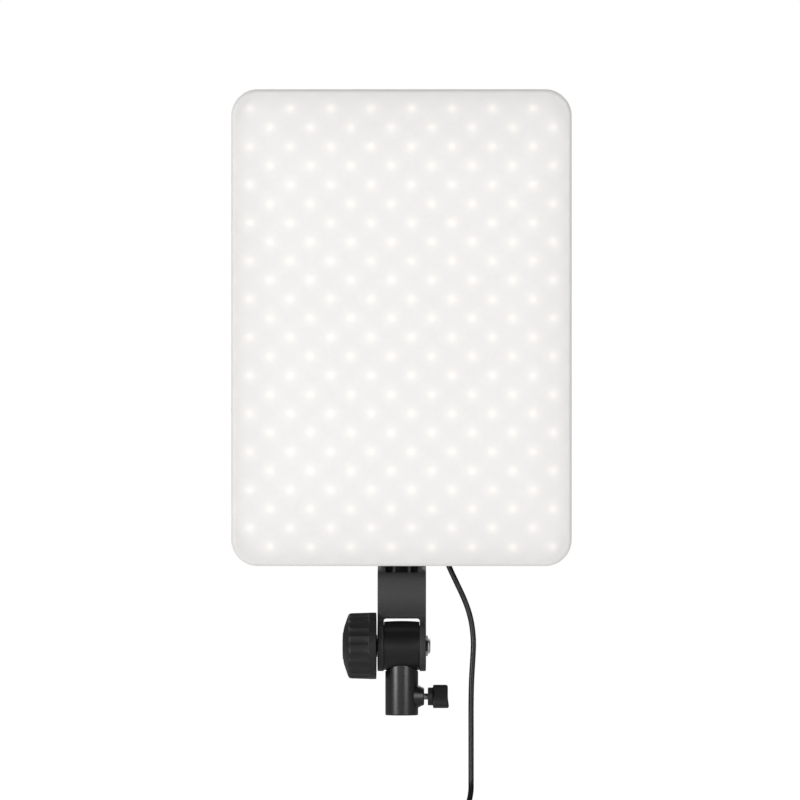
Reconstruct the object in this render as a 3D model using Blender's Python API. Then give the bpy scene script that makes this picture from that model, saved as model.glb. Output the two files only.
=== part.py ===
"""LED soft-light panel on a tilting yoke with a light-stand socket.

Millimetres are used throughout and turned into metres when a mesh is made.
X runs to the right as the light is seen from the front, Y runs away from the
viewer (the light shines towards -Y) and Z is up. The origin is the centre of
the socket tube's lower rim, where the stand's stud goes in.
"""
import math

import bmesh
import bpy
from mathutils import Vector

MM = 0.001
GAP = 0.3                      # clearance kept between neighbouring pieces

# ---- driving dimensions (mm) ----
AXIS_Z = 51.0                  # height of the tilt axis above the socket rim
PANEL_W = 250.0
PANEL_H = 350.0
PANEL_R = 19.5                 # corner radius of the panel's outline
PANEL_BOTTOM = AXIS_Z + 59.1
FRONT_Y = -24.0                # outer face of the diffuser
BACK_Y = 4.0                   # outer face of the rear case
SHOULDER_Y = -12.0             # where the diffuser's wall meets the rear case
DIFFUSER_WALL = 1.8
CASE_WALL = 2.0
CASE_INSET = 0.3
LIP_INSET = 2.2
LIP_FRONT_Y = -20.9
BOARD_BACK_Y = -3.0
BOARD_T = 1.6
LED_ROWS = 24
LED_COLUMNS = 8
LED_ROW_PITCH = 14.0
LED_PITCH = 29.7
LED_SIZE = 4.0
LED_H = 1.0
CATCH_X = 42.0                 # the snap catches in the panel's top edge
VENTS = 7
VENT_TOP = 350.0
VENT_PITCH = 9.0
VENT_X = 55.0
VENT_L = 60.0
VENT_W = 3.0

YOKE_HALF_W = 17.8
EAR_T = 4.5
EAR_R = 18.6
WINDOW_TOP = AXIS_Z + 20.1
FLANGE_TOP = 165.0
FLANGE_FRONT_Y = BACK_Y + GAP
FLANGE_BACK_Y = FLANGE_FRONT_Y + 10.0
RIB_T = 2.2

HUB_HALF_W = YOKE_HALF_W - EAR_T - GAP
HUB_R = 18.4
BOLT_R = 4.0
DISC_R = 14.0
DISC_T = 0.5
DISC_SEAT = DISC_T + GAP       # depth of the hollow in each end of the hub
TUBE_SCREW_R = 2.5

TUBE_R = 12.1
STUD_BORE_R = 8.1
STUD_DEPTH = 29.0
BOSS_R = 7.2
CLAMP_Z = 13.8
CLAMP_R = 2.5
CLAMP_START_X = 11.4
BOSS_END_X = 16.5

KNOB_R = 24.5
KNOB_FLUTES = 24

BOX_HALF_W = 62.0
BOX_BOTTOM = 178.0
BOX_TOP = 262.0
BOX_FRONT_Y = BACK_Y + GAP
BOX_BACK_Y = 26.0
BOX_R = 9.0
CONTROL_Z = 203.0
DIAL_X = 32.0
DIAL_R = 11.0
DISPLAY_Z = 239.0
JACK_X = 29.0
JACK_Y = 14.0

ROCKER_Y = 24.6                # the rocker's axle

CORD_R = 2.0
COIL_MEAN_R = 22.0
COIL_HALF = 6.25               # half the side of the coil's square section
COIL_CENTRE = (51.0, 11.5, -97.0)
CORD_X = COIL_CENTRE[0]
CORD_Y = COIL_CENTRE[1]
ADAPTER_W = 46.0
ADAPTER_H = 66.0
ADAPTER_D = 30.0
RELIEF_L = 18.0
TAIL_L = 12.0                  # lead between the coil and the adapter's relief

PANEL_CENTRE = (0.0, 0.0, PANEL_BOTTOM + PANEL_H / 2)
TILT_CENTRE = (0.0, 0.0, AXIS_Z)

# rotations that point a piece's own +Z along a world direction
TO_PLUS_X = (0.0, math.pi / 2, 0.0)
TO_MINUS_X = (0.0, -math.pi / 2, 0.0)
TO_PLUS_Y = (-math.pi / 2, 0.0, 0.0)
TO_DOWN = (math.pi, 0.0, 0.0)


# ---- scene and materials ----
def clear_scene():
    for old in list(bpy.data.objects):
        bpy.data.objects.remove(old, do_unlink=True)


def make_material(name, color, roughness, metallic=0.0, glow=0.0):
    material = bpy.data.materials.new(name)
    material.use_nodes = True
    shader = material.node_tree.nodes["Principled BSDF"]
    shader.inputs["Base Color"].default_value = (*color, 1.0)
    shader.inputs["Roughness"].default_value = roughness
    shader.inputs["Metallic"].default_value = metallic
    if glow:
        shader.inputs["Emission Color"].default_value = (1.0, 0.97, 0.92, 1.0)
        shader.inputs["Emission Strength"].default_value = glow
    return material


# ---- mesh helpers: every length here is in millimetres ----
def stack(bm, rings, closed=False):
    """Skin a chain of rings; cap both ends unless the chain closes on itself."""
    loops = [[bm.verts.new(Vector(point) * MM) for point in ring] for ring in rings]
    pairs = list(zip(loops, loops[1:]))
    if closed:
        pairs.append((loops[-1], loops[0]))
    for lower, upper in pairs:
        for i in range(len(lower)):
            j = (i + 1) % len(lower)
            bm.faces.new((lower[i], lower[j], upper[j], upper[i]))
    if not closed:
        bm.faces.new(loops[0][::-1])
        bm.faces.new(loops[-1])


def circle(radius, z, count=48):
    turn = 2 * math.pi / count
    return [(radius * math.cos(turn * i), radius * math.sin(turn * i), z) for i in range(count)]


def hexagon(corner, z, count):
    """A hexagon drawn with count points, so that it joins round rings."""
    points = []
    for i in range(count):
        angle = 2 * math.pi * i / count
        away = (angle % (math.pi / 3)) - math.pi / 6
        radius = corner * math.cos(math.pi / 6) / math.cos(away)
        points.append((radius * math.cos(angle), radius * math.sin(angle), z))
    return points


def turned(profile, count=48, closed=False):
    """A new mesh turned about Z from (radius, height) points."""
    bm = bmesh.new()
    stack(bm, [circle(radius, height, count) for radius, height in profile], closed)
    return bm


def rounded_rect(width, height, radius, steps=6):
    points = []
    for quarter in range(4):
        angle = quarter * math.pi / 2
        side_x = 1 if quarter in (0, 3) else -1
        side_y = 1 if quarter in (0, 1) else -1
        cx = side_x * (width / 2 - radius)
        cy = side_y * (height / 2 - radius)
        for step in range(steps + 1):
            turn = angle + step * math.pi / 2 / steps
            points.append((cx + radius * math.cos(turn), cy + radius * math.sin(turn)))
    return points


def facing_y(points, y, at=(0.0, 0.0)):
    return [(u + at[0], y, v + at[1]) for u, v in points]


def facing_z(points, z, at=(0.0, 0.0)):
    return [(u + at[0], v + at[1], z) for u, v in points]


def facing_x(points, x):
    return [(x, u, v) for u, v in points]


def inset_loop(points, distance):
    """Move a closed anticlockwise outline inwards by distance."""
    moved = []
    count = len(points)
    for i, (u, v) in enumerate(points):
        before = Vector(points[i - 1])
        after = Vector(points[(i + 1) % count])
        here = Vector((u, v))
        first = (here - before).normalized()
        second = (after - here).normalized()
        normal = Vector((-(first.y + second.y), first.x + second.x)).normalized()
        stretch = max(0.35, normal.dot(Vector((-first.y, first.x))))
        moved.append(tuple(here + normal * (distance / stretch)))
    return moved


def add_block(bm, low, high):
    rect = [(low[0], low[1]), (high[0], low[1]), (high[0], high[1]), (low[0], high[1])]
    stack(bm, [facing_z(rect, low[2]), facing_z(rect, high[2])])


def add_rod(bm, axis, start, end, radius, at=(0.0, 0.0), count=24):
    """A plain cylinder along one axis; at gives its place on the other two, in X, Y, Z order."""
    rings = []
    for along in (start, end):
        flat = [(u + at[0], v + at[1]) for u, v, _ in circle(radius, 0.0, count)]
        if axis == "X":
            rings.append([(along, u, v) for u, v in flat])
        elif axis == "Y":
            rings.append([(u, along, v) for u, v in flat])
        else:
            rings.append([(u, v, along) for u, v in flat])
    stack(bm, rings)


def rounded_block(size, radius, edge, y_low, y_high, at=(0.0, 0.0), steps=4):
    """A block facing Y with rounded corners and softened front and back edges."""
    bm = bmesh.new()
    width, height = size
    full = rounded_rect(width, height, radius, steps)
    small = rounded_rect(width - 2 * edge, height - 2 * edge, max(radius - edge, 0.2), steps)
    stack(bm, [facing_y(small, y_low, at), facing_y(full, y_low + edge, at),
               facing_y(full, y_high - edge, at), facing_y(small, y_high, at)])
    return bm


def smooth_path(points, count):
    """Points evenly spread in parameter along a Catmull-Rom curve through the route."""
    route = [Vector(point) for point in points]
    route = [2 * route[0] - route[1]] + route + [2 * route[-1] - route[-2]]
    spans = len(points) - 1
    curve = []
    for step in range(count):
        place = step / (count - 1) * spans
        span = min(int(place), spans - 1)
        t = place - span
        a, b, c, d = route[span:span + 4]
        curve.append(0.5 * (2 * b + (c - a) * t + (2 * a - 5 * b + 4 * c - d) * t ** 2
                            + (3 * b - a - 3 * c + d) * t ** 3))
    return curve


# ---- objects ----
def finish_mesh(bm, name):
    bmesh.ops.recalc_face_normals(bm, faces=bm.faces)
    mesh = bpy.data.meshes.new(name)
    bm.to_mesh(mesh)
    bm.free()
    mesh.shade_smooth()
    mesh.set_sharp_from_angle(angle=math.radians(32))
    return mesh


def piece(name, bm, material, at=(0.0, 0.0, 0.0), turn=(0.0, 0.0, 0.0), parent=None):
    """Make one named sub-part; at is its place in the world, in millimetres."""
    obj = bpy.data.objects.new(name, finish_mesh(bm, name))
    obj.data.materials.append(material)
    bpy.context.scene.collection.objects.link(obj)
    place = Vector(at) * MM
    if parent:
        obj.parent = parent
        place -= Vector(parent["place"])
    obj.location = place
    obj.rotation_euler = turn
    return obj


def pivot(name, at, parent=None):
    """An empty on a joint's axis that carries a moving group."""
    empty = bpy.data.objects.new(name, None)
    bpy.context.scene.collection.objects.link(empty)
    place = Vector(at) * MM
    empty["place"] = place
    empty.location = place
    if parent:
        empty.parent = parent
        empty.location = place - Vector(parent["place"])
    return empty


def shape_with(target, bm, operation):
    """Cut or join a helper mesh, given in the target's own frame."""
    helper = bpy.data.objects.new(target.name + "_" + operation.lower(), finish_mesh(bm, "helper"))
    bpy.context.scene.collection.objects.link(helper)
    helper.parent = target
    helper.hide_render = True
    helper.display_type = "WIRE"
    modifier = target.modifiers.new(operation.title(), "BOOLEAN")
    modifier.operation = operation
    modifier.solver = "EXACT"
    modifier.object = helper


def merge_slivers(target):
    """Join the points that a cut left on top of each other."""
    weld = target.modifiers.new("Merge", "WELD")
    weld.merge_threshold = 0.01 * MM


def screw(name, material, at, turn, parent, length, shank=1.5, head=2.8, head_h=2.0, count=12):
    """A pan-head screw with a hexagon socket; its own +Z points out of the head."""
    bm = bmesh.new()
    rings = [circle(shank, -length, count), circle(shank, 0.0, count), circle(head, 0.0, count),
             circle(head * 0.86, head_h, count), hexagon(head * 0.5, head_h, count),
             hexagon(head * 0.5, head_h * 0.4, count)]
    stack(bm, rings)
    return piece(name, bm, material, at, turn, parent)


# ---- stand side: hub, socket tube and clamp ----
def build_hub(black):
    """A slightly crowned barrel with a hollow in each end for its friction disc."""
    rim = HUB_HALF_W - 0.5
    crown = [(HUB_R - 1.1, -HUB_HALF_W)]
    for step in range(5):
        along = (-1 + step / 2) * rim
        crown.append((HUB_R - 0.6 * (along / rim) ** 2, along))
    crown.append((HUB_R - 1.1, HUB_HALF_W))
    bore = BOLT_R + GAP
    seat = DISC_R + GAP
    floor = HUB_HALF_W - DISC_SEAT
    profile = [(bore, -floor), (seat, -floor), (seat, -HUB_HALF_W)] + crown
    profile += [(seat, HUB_HALF_W), (seat, floor), (bore, floor)]
    hub = piece("tilt_hub", turned(profile, 36, closed=True), black, TILT_CENTRE, TO_PLUS_X)
    hole = bmesh.new()
    # the hub's own +X points down once its +Z lies along the tilt axis
    add_rod(hole, "X", 8.7, HUB_R + 2, TUBE_SCREW_R + GAP, count=16)
    shape_with(hub, hole, "DIFFERENCE")
    merge_slivers(hub)
    for side, name in ((-1, "friction_disc_left"), (1, "friction_disc_right")):
        end = side * HUB_HALF_W
        low, high = sorted((end, end - side * DISC_T))
        ring = [(bore, low), (DISC_R, low), (DISC_R, high), (bore, high)]
        piece(name, turned(ring, 24, closed=True), MATERIALS["fibre"], TILT_CENTRE, TO_PLUS_X)


def build_socket_tube(metal, steel):
    top = AXIS_Z - 7.0
    screw_bore = TUBE_SCREW_R + GAP
    profile = [(STUD_BORE_R + 0.5, 0.0), (TUBE_R - 0.8, 0.0), (TUBE_R, 0.8), (TUBE_R, top),
               (screw_bore, top), (screw_bore, STUD_DEPTH), (STUD_BORE_R, STUD_DEPTH), (STUD_BORE_R, 0.5)]
    tube = piece("socket_tube", turned(profile, 42, closed=True), metal)
    boss = bmesh.new()
    rings = []
    for x, radius in ((8.4, BOSS_R), (BOSS_END_X - 1.0, BOSS_R), (BOSS_END_X - 0.3, BOSS_R - 0.4),
                      (BOSS_END_X, BOSS_R - 1.1)):
        rings.append([(x, u, v + CLAMP_Z) for u, v, _ in circle(radius, 0.0, 28)])
    stack(boss, rings)
    shape_with(tube, boss, "UNION")
    holes = bmesh.new()
    add_rod(holes, "X", 7.0, 20.0, CLAMP_R + GAP, (0.0, CLAMP_Z), 16)
    add_rod(holes, "X", -20.0, 20.0, HUB_R + GAP, (0.0, AXIS_Z), 64)
    shape_with(tube, holes, "DIFFERENCE")
    merge_slivers(tube)
    screw("tube_screw", steel, (0.0, 0.0, STUD_DEPTH - GAP), TO_DOWN, None, 13.0,
          shank=TUBE_SCREW_R, head=4.2, head_h=2.8)


def build_clamp(steel, brass, black):
    slide = pivot("clamp_travel", (8.1, 0.0, CLAMP_Z))
    pad = [(1.7, 0.0), (2.2, 0.5), (2.2, 3.0)]
    piece("clamp_pad", turned(pad, 16), brass, (8.1, 0.0, CLAMP_Z), TO_PLUS_X, slide)
    spin = pivot("clamp_spin", (CLAMP_START_X, 0.0, CLAMP_Z), slide)
    shank = [(CLAMP_R - 0.5, 0.0), (CLAMP_R, 0.5), (CLAMP_R, 18.2)]
    piece("clamp_screw", turned(shank, 20), steel, (CLAMP_START_X, 0.0, CLAMP_Z), TO_PLUS_X, spin)
    head_x = 19.2
    bore = CLAMP_R + GAP
    collar = 6.6
    bar_start = 3.9
    bar_end = 15.8
    half_long = 8.6
    half_thick = 4.7
    count = 24

    # the wing stands a few degrees off vertical, lower end towards the viewer
    lean = math.radians(24)

    def bar(long, thick, x, lobe=0.0):
        ring = []
        for i in range(count):
            angle = 2 * math.pi * i / count
            u = long * math.copysign(abs(math.cos(angle)) ** 0.75, math.cos(angle))
            v = thick * math.copysign(abs(math.sin(angle)) ** 0.55, math.sin(angle))
            ring.append((u * math.cos(lean) + v * math.sin(lean), v * math.cos(lean) - u * math.sin(lean),
                         x + lobe * (u / half_long) ** 2))
        return ring

    rings = [circle(bore, 11.5, count), circle(bore, 0.0, count), circle(collar - 0.4, 0.0, count),
             circle(collar, 0.4, count), circle(collar, bar_start - 0.8, count),
             bar(half_long - 0.5, half_thick - 0.5, bar_start),
             bar(half_long, half_thick, bar_start + 0.5),
             bar(half_long, half_thick, bar_end - 2.2, 0.4),
             bar(half_long - 0.6, half_thick - 0.6, bar_end - 0.7, 0.8),
             bar(half_long - 1.9, half_thick - 1.7, bar_end - 0.5, 0.9),
             bar(half_long * 0.5, half_thick * 0.3, bar_end - 1.1, 0.4)]
    bm = bmesh.new()
    stack(bm, rings)
    piece("wing_head", bm, black, (head_x, 0.0, CLAMP_Z), TO_PLUS_X, spin)


# ---- yoke, bolt and tilt knob ----
def yoke_outline():
    """Side view of the yoke as (y, z), anticlockwise: back of the ear, down, round and up the front."""
    ear = []
    for step in range(25):
        angle = math.radians(40 - step * (288 / 24))
        ear.append((EAR_R * math.cos(angle), AXIS_Z + EAR_R * math.sin(angle)))
    web_front = [(-4.4, 70.2), (-3.3, 72.6), (-3.7, 77.0), (-4.5, 83.0), (-4.7, 89.0),
                 (-4.1, 95.0), (-2.5, 100.5), (0.4, 105.8), (FLANGE_FRONT_Y, 111.0)]
    top = [(FLANGE_FRONT_Y, FLANGE_TOP - 1.0), (FLANGE_FRONT_Y + 1.0, FLANGE_TOP),
           (FLANGE_BACK_Y - 3.0, FLANGE_TOP), (FLANGE_BACK_Y, FLANGE_TOP - 3.0)]
    web_back = [(FLANGE_BACK_Y, 112.0), (13.7, 104.0), (12.9, 94.0), (12.4, 84.0), (12.7, 74.0),
                (13.6, 67.5)]
    clockwise = ear + web_front + top + web_back
    return clockwise[::-1]


def build_yoke(material, steel, parent):
    outline = yoke_outline()
    soft = inset_loop(outline, 0.9)
    mid = inset_loop(outline, 0.25)
    bm = bmesh.new()
    w = YOKE_HALF_W
    stack(bm, [facing_x(soft, -w), facing_x(mid, -w + 0.3), facing_x(outline, -w + 0.9),
               facing_x(outline, w - 0.9), facing_x(mid, w - 0.3), facing_x(soft, w)])
    bmesh.ops.translate(bm, verts=bm.verts, vec=Vector((0.0, 0.0, -AXIS_Z)) * MM)
    yoke = piece("yoke_bracket", bm, material, TILT_CENTRE, parent=parent)

    inside = YOKE_HALF_W - EAR_T
    cutter = bmesh.new()
    window_h = 60.0
    window = rounded_rect(2 * inside, window_h, 2.0, 4)
    centre_z = WINDOW_TOP - AXIS_Z - window_h / 2
    stack(cutter, [facing_y(window, -30.0, (0.0, centre_z)), facing_y(window, 30.0, (0.0, centre_z))])
    pocket_low = 105.0 - AXIS_Z
    pocket_high = FLANGE_TOP - 6.0 - AXIS_Z
    for x_low, x_high in ((-11.9, -6.6), (-6.6 + RIB_T, 6.6 - RIB_T), (6.6, 11.9)):
        add_block(cutter, (x_low, -12.0, pocket_low), (x_high, FLANGE_BACK_Y - 2.0, pocket_high))
    for x, z in bracket_screw_places():
        add_rod(cutter, "Y", -10.0, 30.0, 1.8, (x, z - AXIS_Z), 12)
    shape_with(yoke, cutter, "DIFFERENCE")
    bore = bmesh.new()
    add_rod(bore, "X", -30.0, 30.0, BOLT_R + GAP, count=32)
    shape_with(yoke, bore, "DIFFERENCE")
    for number, (x, z) in enumerate(bracket_screw_places(), 1):
        screw(f"bracket_screw_{number}", steel, (x, FLANGE_BACK_Y + GAP, z), TO_PLUS_Y, parent, 17.0)


def bracket_screw_places():
    return [(x, z) for z in (122.0, 155.0) for x in (-14.9, 14.9)]


def build_bolt(steel, black, parent):
    head = [(BOLT_R * 0.7, 0.0), (BOLT_R, 1.0), (BOLT_R, 52.4), (6.4, 52.4), (6.4, 52.9),
            (5.6, 53.5), (3.6, 53.9), (1.2, 54.1)]
    piece("tilt_bolt", turned(head, 24), steel, (-33.0, 0.0, AXIS_Z), TO_PLUS_X, parent)
    ring = [(BOLT_R + GAP, 0.0), (7.3, 0.0), (7.6, 0.3), (7.6, 0.8), (7.3, 1.0), (BOLT_R + GAP, 1.0)]
    piece("bolt_washer", turned(ring, 24, closed=True), black,
          (YOKE_HALF_W + GAP, 0.0, AXIS_Z), TO_PLUS_X, parent)


def fluted_ring(radius, z, depth, count):
    """A ring of shallow hollows, three points to each, with a ridge at each start."""
    shape = (0.0, 1.0, 1.0)
    points = []
    for i in range(count):
        angle = 2 * math.pi * i / count
        r = radius - depth * shape[i % len(shape)]
        points.append((r * math.cos(angle), r * math.sin(angle), z))
    return points


def build_knob(black, brass, parent):
    washer_x = -(YOKE_HALF_W + GAP)
    slide = pivot("knob_travel", (washer_x, 0.0, AXIS_Z), parent)
    bore = BOLT_R + GAP
    ring = [(bore, 0.0), (8.2, 0.0), (8.2, 1.1), (bore, 1.1)]
    piece("knob_washer", turned(ring, 24, closed=True), black, (washer_x, 0.0, AXIS_Z), TO_MINUS_X, slide)
    spin = pivot("knob_spin", (washer_x, 0.0, AXIS_Z), slide)
    face_x = -18.7
    count = 3 * KNOB_FLUTES
    depth = 0.6
    insert_r = 6.0
    insert_end = 15.3
    cap_r = 9.9
    cap_floor = 23.5
    rings = [circle(insert_r + GAP, insert_end, count), circle(insert_r + GAP, 1.1, count),
             circle(8.6, 1.1, count), circle(8.6, 0.0, count),
             circle(KNOB_R, 0.0, count), circle(KNOB_R, 5.0, count),
             fluted_ring(KNOB_R - 0.1, 5.1, depth, count),
             fluted_ring(KNOB_R - 0.5, 19.0, depth, count), fluted_ring(KNOB_R - 1.3, 20.2, 0.4, count),
             circle(20.2, 21.5, count), circle(13.8, 23.7, count), circle(11.0, 24.3, count),
             circle(cap_r + GAP, 24.3, count), circle(cap_r + GAP, cap_floor, count)]
    bm = bmesh.new()
    stack(bm, rings)
    piece("tilt_knob", bm, black, (face_x, 0.0, AXIS_Z), TO_MINUS_X, spin)
    insert = [(bore, 1.4), (insert_r, 1.4), (insert_r, insert_end - GAP), (bore, insert_end - GAP)]
    piece("knob_insert", turned(insert, 18, closed=True), brass, (face_x, 0.0, AXIS_Z), TO_MINUS_X, spin)
    cap = [(cap_r, cap_floor + GAP), (cap_r, 24.4), (cap_r - 0.6, 24.75), (5.0, 24.9)]
    piece("knob_cap", turned(cap, 28), black, (face_x, 0.0, AXIS_Z), TO_MINUS_X, spin)


# ---- light panel ----
def panel_ring(inset, y, steps=6):
    """The panel's outline in its own frame, moved inwards by inset."""
    outline = rounded_rect(PANEL_W - 2 * inset, PANEL_H - 2 * inset, PANEL_R - inset, steps)
    return facing_y(outline, y)


def build_diffuser(opal, parent):
    bm = bmesh.new()
    inside_y = FRONT_Y + DIFFUSER_WALL
    edge = 3.2
    rings = [panel_ring(DIFFUSER_WALL + 1.0, inside_y), panel_ring(DIFFUSER_WALL, inside_y + 1.2),
             panel_ring(DIFFUSER_WALL, SHOULDER_Y), panel_ring(0.0, SHOULDER_Y)]
    for step in range(5):
        angle = step * math.pi / 8
        rings.append(panel_ring(edge * (1 - math.cos(angle)), FRONT_Y + edge * (1 - math.sin(angle))))
    stack(bm, rings)
    front = piece("front_diffuser", bm, opal, PANEL_CENTRE, parent=parent)
    slots = bmesh.new()
    top = PANEL_H / 2
    for x in (-CATCH_X, CATCH_X):
        add_block(slots, (x - 3.0, SHOULDER_Y - 5.5, top - 4), (x + 3.0, SHOULDER_Y - 2.5, top + 2))
    shape_with(front, slots, "DIFFERENCE")
    sheet = bmesh.new()
    sheet_front = inside_y + GAP
    stack(sheet, [panel_ring(3.1, sheet_front), panel_ring(3.1, sheet_front + 0.7)])
    piece("diffusion_sheet", sheet, MATERIALS["film"], PANEL_CENTRE, parent=parent)


def board_screw_places():
    return [(x, z) for x in (-103.0, 103.0) for z in (-137.2, 137.2)]


def led_places():
    """(x, z) of every emitter from the panel's centre; alternate rows are shifted half a pitch."""
    places = []
    for row in range(LED_ROWS):
        shift = LED_PITCH / 4 * (1 if row % 2 else -1)
        z = ((LED_ROWS - 1) / 2 - row) * LED_ROW_PITCH
        for column in range(LED_COLUMNS):
            places.append(((column - (LED_COLUMNS - 1) / 2) * LED_PITCH + shift, z))
    return places


def build_led_board(white, steel, parent):
    front_y = BOARD_BACK_Y - BOARD_T
    bm = bmesh.new()
    stack(bm, [panel_ring(6.0, front_y, 4), panel_ring(6.0, BOARD_BACK_Y, 4)])
    board = piece("led_board", bm, white, PANEL_CENTRE, parent=parent)
    chips = bmesh.new()
    reach = LED_SIZE * math.sqrt(0.5)
    root_y = front_y + 0.4
    for x, z in led_places():
        # each emitter is a low four-sided lens
        corners = [chips.verts.new(Vector((x + u, root_y, z + v)) * MM)
                   for u, v in ((-reach, 0.0), (0.0, -reach), (reach, 0.0), (0.0, reach))]
        tip = chips.verts.new(Vector((x, front_y - LED_H, z)) * MM)
        chips.faces.new(corners)
        for i in range(4):
            chips.faces.new((corners[i], corners[(i + 1) % 4], tip))
    shape_with(board, chips, "UNION")
    holes = bmesh.new()
    for x, z in board_screw_places():
        add_rod(holes, "Y", front_y - 3, 0.0, 1.8, (x, z), 8)
    shape_with(board, holes, "DIFFERENCE")
    for number, (x, z) in enumerate(board_screw_places(), 1):
        place = (x, BACK_Y + GAP, z + PANEL_CENTRE[2])
        screw(f"case_screw_{number}", steel, place, TO_PLUS_Y, parent, 9.4, head=2.9)


def build_rear_case(black, parent):
    bm = bmesh.new()
    floor_y = BACK_Y - CASE_WALL
    inner = CASE_INSET + CASE_WALL
    lip_inner = LIP_INSET + 1.8
    edge = 3.5
    rings = [panel_ring(inner + 1.2, floor_y), panel_ring(inner, floor_y - 1.4),
             panel_ring(inner, SHOULDER_Y + 2.2), panel_ring(lip_inner, SHOULDER_Y + 0.6),
             panel_ring(lip_inner, LIP_FRONT_Y), panel_ring(LIP_INSET, LIP_FRONT_Y),
             panel_ring(LIP_INSET, SHOULDER_Y + GAP), panel_ring(CASE_INSET, SHOULDER_Y + GAP)]
    for step in range(4):
        angle = step * math.pi / 6
        inset = CASE_INSET + edge * (1 - math.cos(angle))
        rings.append(panel_ring(inset, BACK_Y - edge * (1 - math.sin(angle))))
    stack(bm, rings)
    case = piece("rear_case", bm, black, PANEL_CENTRE, parent=parent)

    centre_z = PANEL_CENTRE[2]
    bosses = bmesh.new()
    boss_front = BOARD_BACK_Y + GAP
    for x, z in bracket_screw_places():
        add_rod(bosses, "Y", boss_front, floor_y + 0.5, 3.6, (x, z - centre_z), 10)
    for x, z in board_screw_places():
        add_rod(bosses, "Y", boss_front, floor_y + 0.5, 3.6, (x, z), 10)
    shape_with(case, bosses, "UNION")

    cutter = bmesh.new()
    for x, z in bracket_screw_places() + box_screw_places():
        add_rod(cutter, "Y", boss_front - 1, BACK_Y + 1, 1.8, (x, z - centre_z), 8)
    for x, z in board_screw_places():
        add_rod(cutter, "Y", boss_front - 1, BACK_Y + 1, 1.8, (x, z), 8)
    add_rod(cutter, "Y", 0.0, BACK_Y + 1, 4.5, (0.0, 222.0 - centre_z), 16)
    for side in (-1, 1):
        for slot in range(VENTS):
            z = VENT_TOP - slot * VENT_PITCH - centre_z
            vent = rounded_rect(VENT_L, VENT_W, 1.0, 1)
            at = (side * VENT_X, z)
            stack(cutter, [facing_y(vent, 0.0, at), facing_y(vent, BACK_Y + 1, at)])
    shape_with(case, cutter, "DIFFERENCE")

    for side, name in ((-1, "diffuser_catch_left"), (1, "diffuser_catch_right")):
        catch = bmesh.new()
        x = side * CATCH_X
        top = PANEL_H / 2
        add_block(catch, (x - 2.4, SHOULDER_Y - 5.2, top - LIP_INSET + GAP),
                  (x + 2.4, SHOULDER_Y - 2.8, top - 0.4))
        bmesh.ops.recalc_face_normals(catch, faces=catch.faces)
        bmesh.ops.bevel(catch, geom=catch.edges[:], offset=0.3 * MM, segments=1, affect="EDGES")
        piece(name, catch, black, PANEL_CENTRE, parent=parent)


# ---- control box on the back ----
def box_screw_places():
    return [(x, z) for x in (-54.0, 54.0) for z in (186.0, 254.0)]


def build_control_box(black, steel, parent):
    middle_z = (BOX_BOTTOM + BOX_TOP) / 2
    height = BOX_TOP - BOX_BOTTOM
    wall = 2.0

    def ring(inset, y):
        outline = rounded_rect(2 * (BOX_HALF_W - inset), height - 2 * inset, BOX_R - inset, 4)
        return facing_y(outline, y)

    bm = bmesh.new()
    edge = 3.0
    rings = [ring(wall, BOX_BACK_Y - wall), ring(wall, BOX_FRONT_Y), ring(0.0, BOX_FRONT_Y)]
    for step in range(4):
        angle = step * math.pi / 6
        rings.append(ring(edge * (1 - math.cos(angle)), BOX_BACK_Y - edge * (1 - math.sin(angle))))
    stack(bm, rings)
    at = (0.0, 0.0, middle_z)
    box = piece("control_box", bm, black, at, parent=parent)
    posts = bmesh.new()
    for x, z in box_screw_places():
        add_rod(posts, "Y", BOX_FRONT_Y, BOX_BACK_Y - wall + 0.5, 4.6, (x, z - middle_z), 10)
    shape_with(box, posts, "UNION")
    cutter = bmesh.new()
    sunk = BOX_BACK_Y - 2.4
    for x, z in box_screw_places():
        steps = ((1.8, 0.0), (1.8, sunk), (3.2, sunk), (3.2, 30.0))
        stack(cutter, [[(u + x, y, v + z - middle_z) for u, v, _ in circle(radius, 0.0, 12)]
                       for radius, y in steps])
    for x in (-DIAL_X, DIAL_X):
        add_rod(cutter, "Y", 15.0, 30.0, 3.9, (x, CONTROL_Z - middle_z), 20)
    add_block(cutter, (-6.6, 15.0, CONTROL_Z - 9.6 - middle_z), (6.6, 30.0, CONTROL_Z + 9.6 - middle_z))
    opening = rounded_rect(40.0, 18.0, 1.0, 2)
    recess = rounded_rect(46.6, 24.6, 1.0, 2)
    display_at = (0.0, DISPLAY_Z - middle_z)
    stack(cutter, [facing_y(opening, 15.0, display_at), facing_y(opening, BOX_BACK_Y - 1.4, display_at),
                   facing_y(recess, BOX_BACK_Y - 1.4, display_at), facing_y(recess, 30.0, display_at)])
    add_rod(cutter, "Z", -height / 2 - 2, -height / 2 + 3, 4.8, (JACK_X, JACK_Y), 24)
    shape_with(box, cutter, "DIFFERENCE")
    for number, (x, z) in enumerate(box_screw_places(), 1):
        screw(f"box_screw_{number}", steel, (x, BOX_BACK_Y - 2.1, z), TO_PLUS_Y, parent, 21.0)


def build_display(parent):
    window = rounded_block((46.0, 24.0), 0.8, 0.25, BOX_BACK_Y - 1.1, BOX_BACK_Y, steps=2)
    piece("display_window", window, MATERIALS["smoked"], (0.0, 0.0, DISPLAY_Z), parent=parent)
    module = bmesh.new()
    add_block(module, (-21.5, 19.5, -11.0), (21.5, BOX_BACK_Y - 2.0 - GAP, 11.0))
    piece("display_module", module, MATERIALS["dark_glass"], (0.0, 0.0, DISPLAY_Z), parent=parent)


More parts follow.
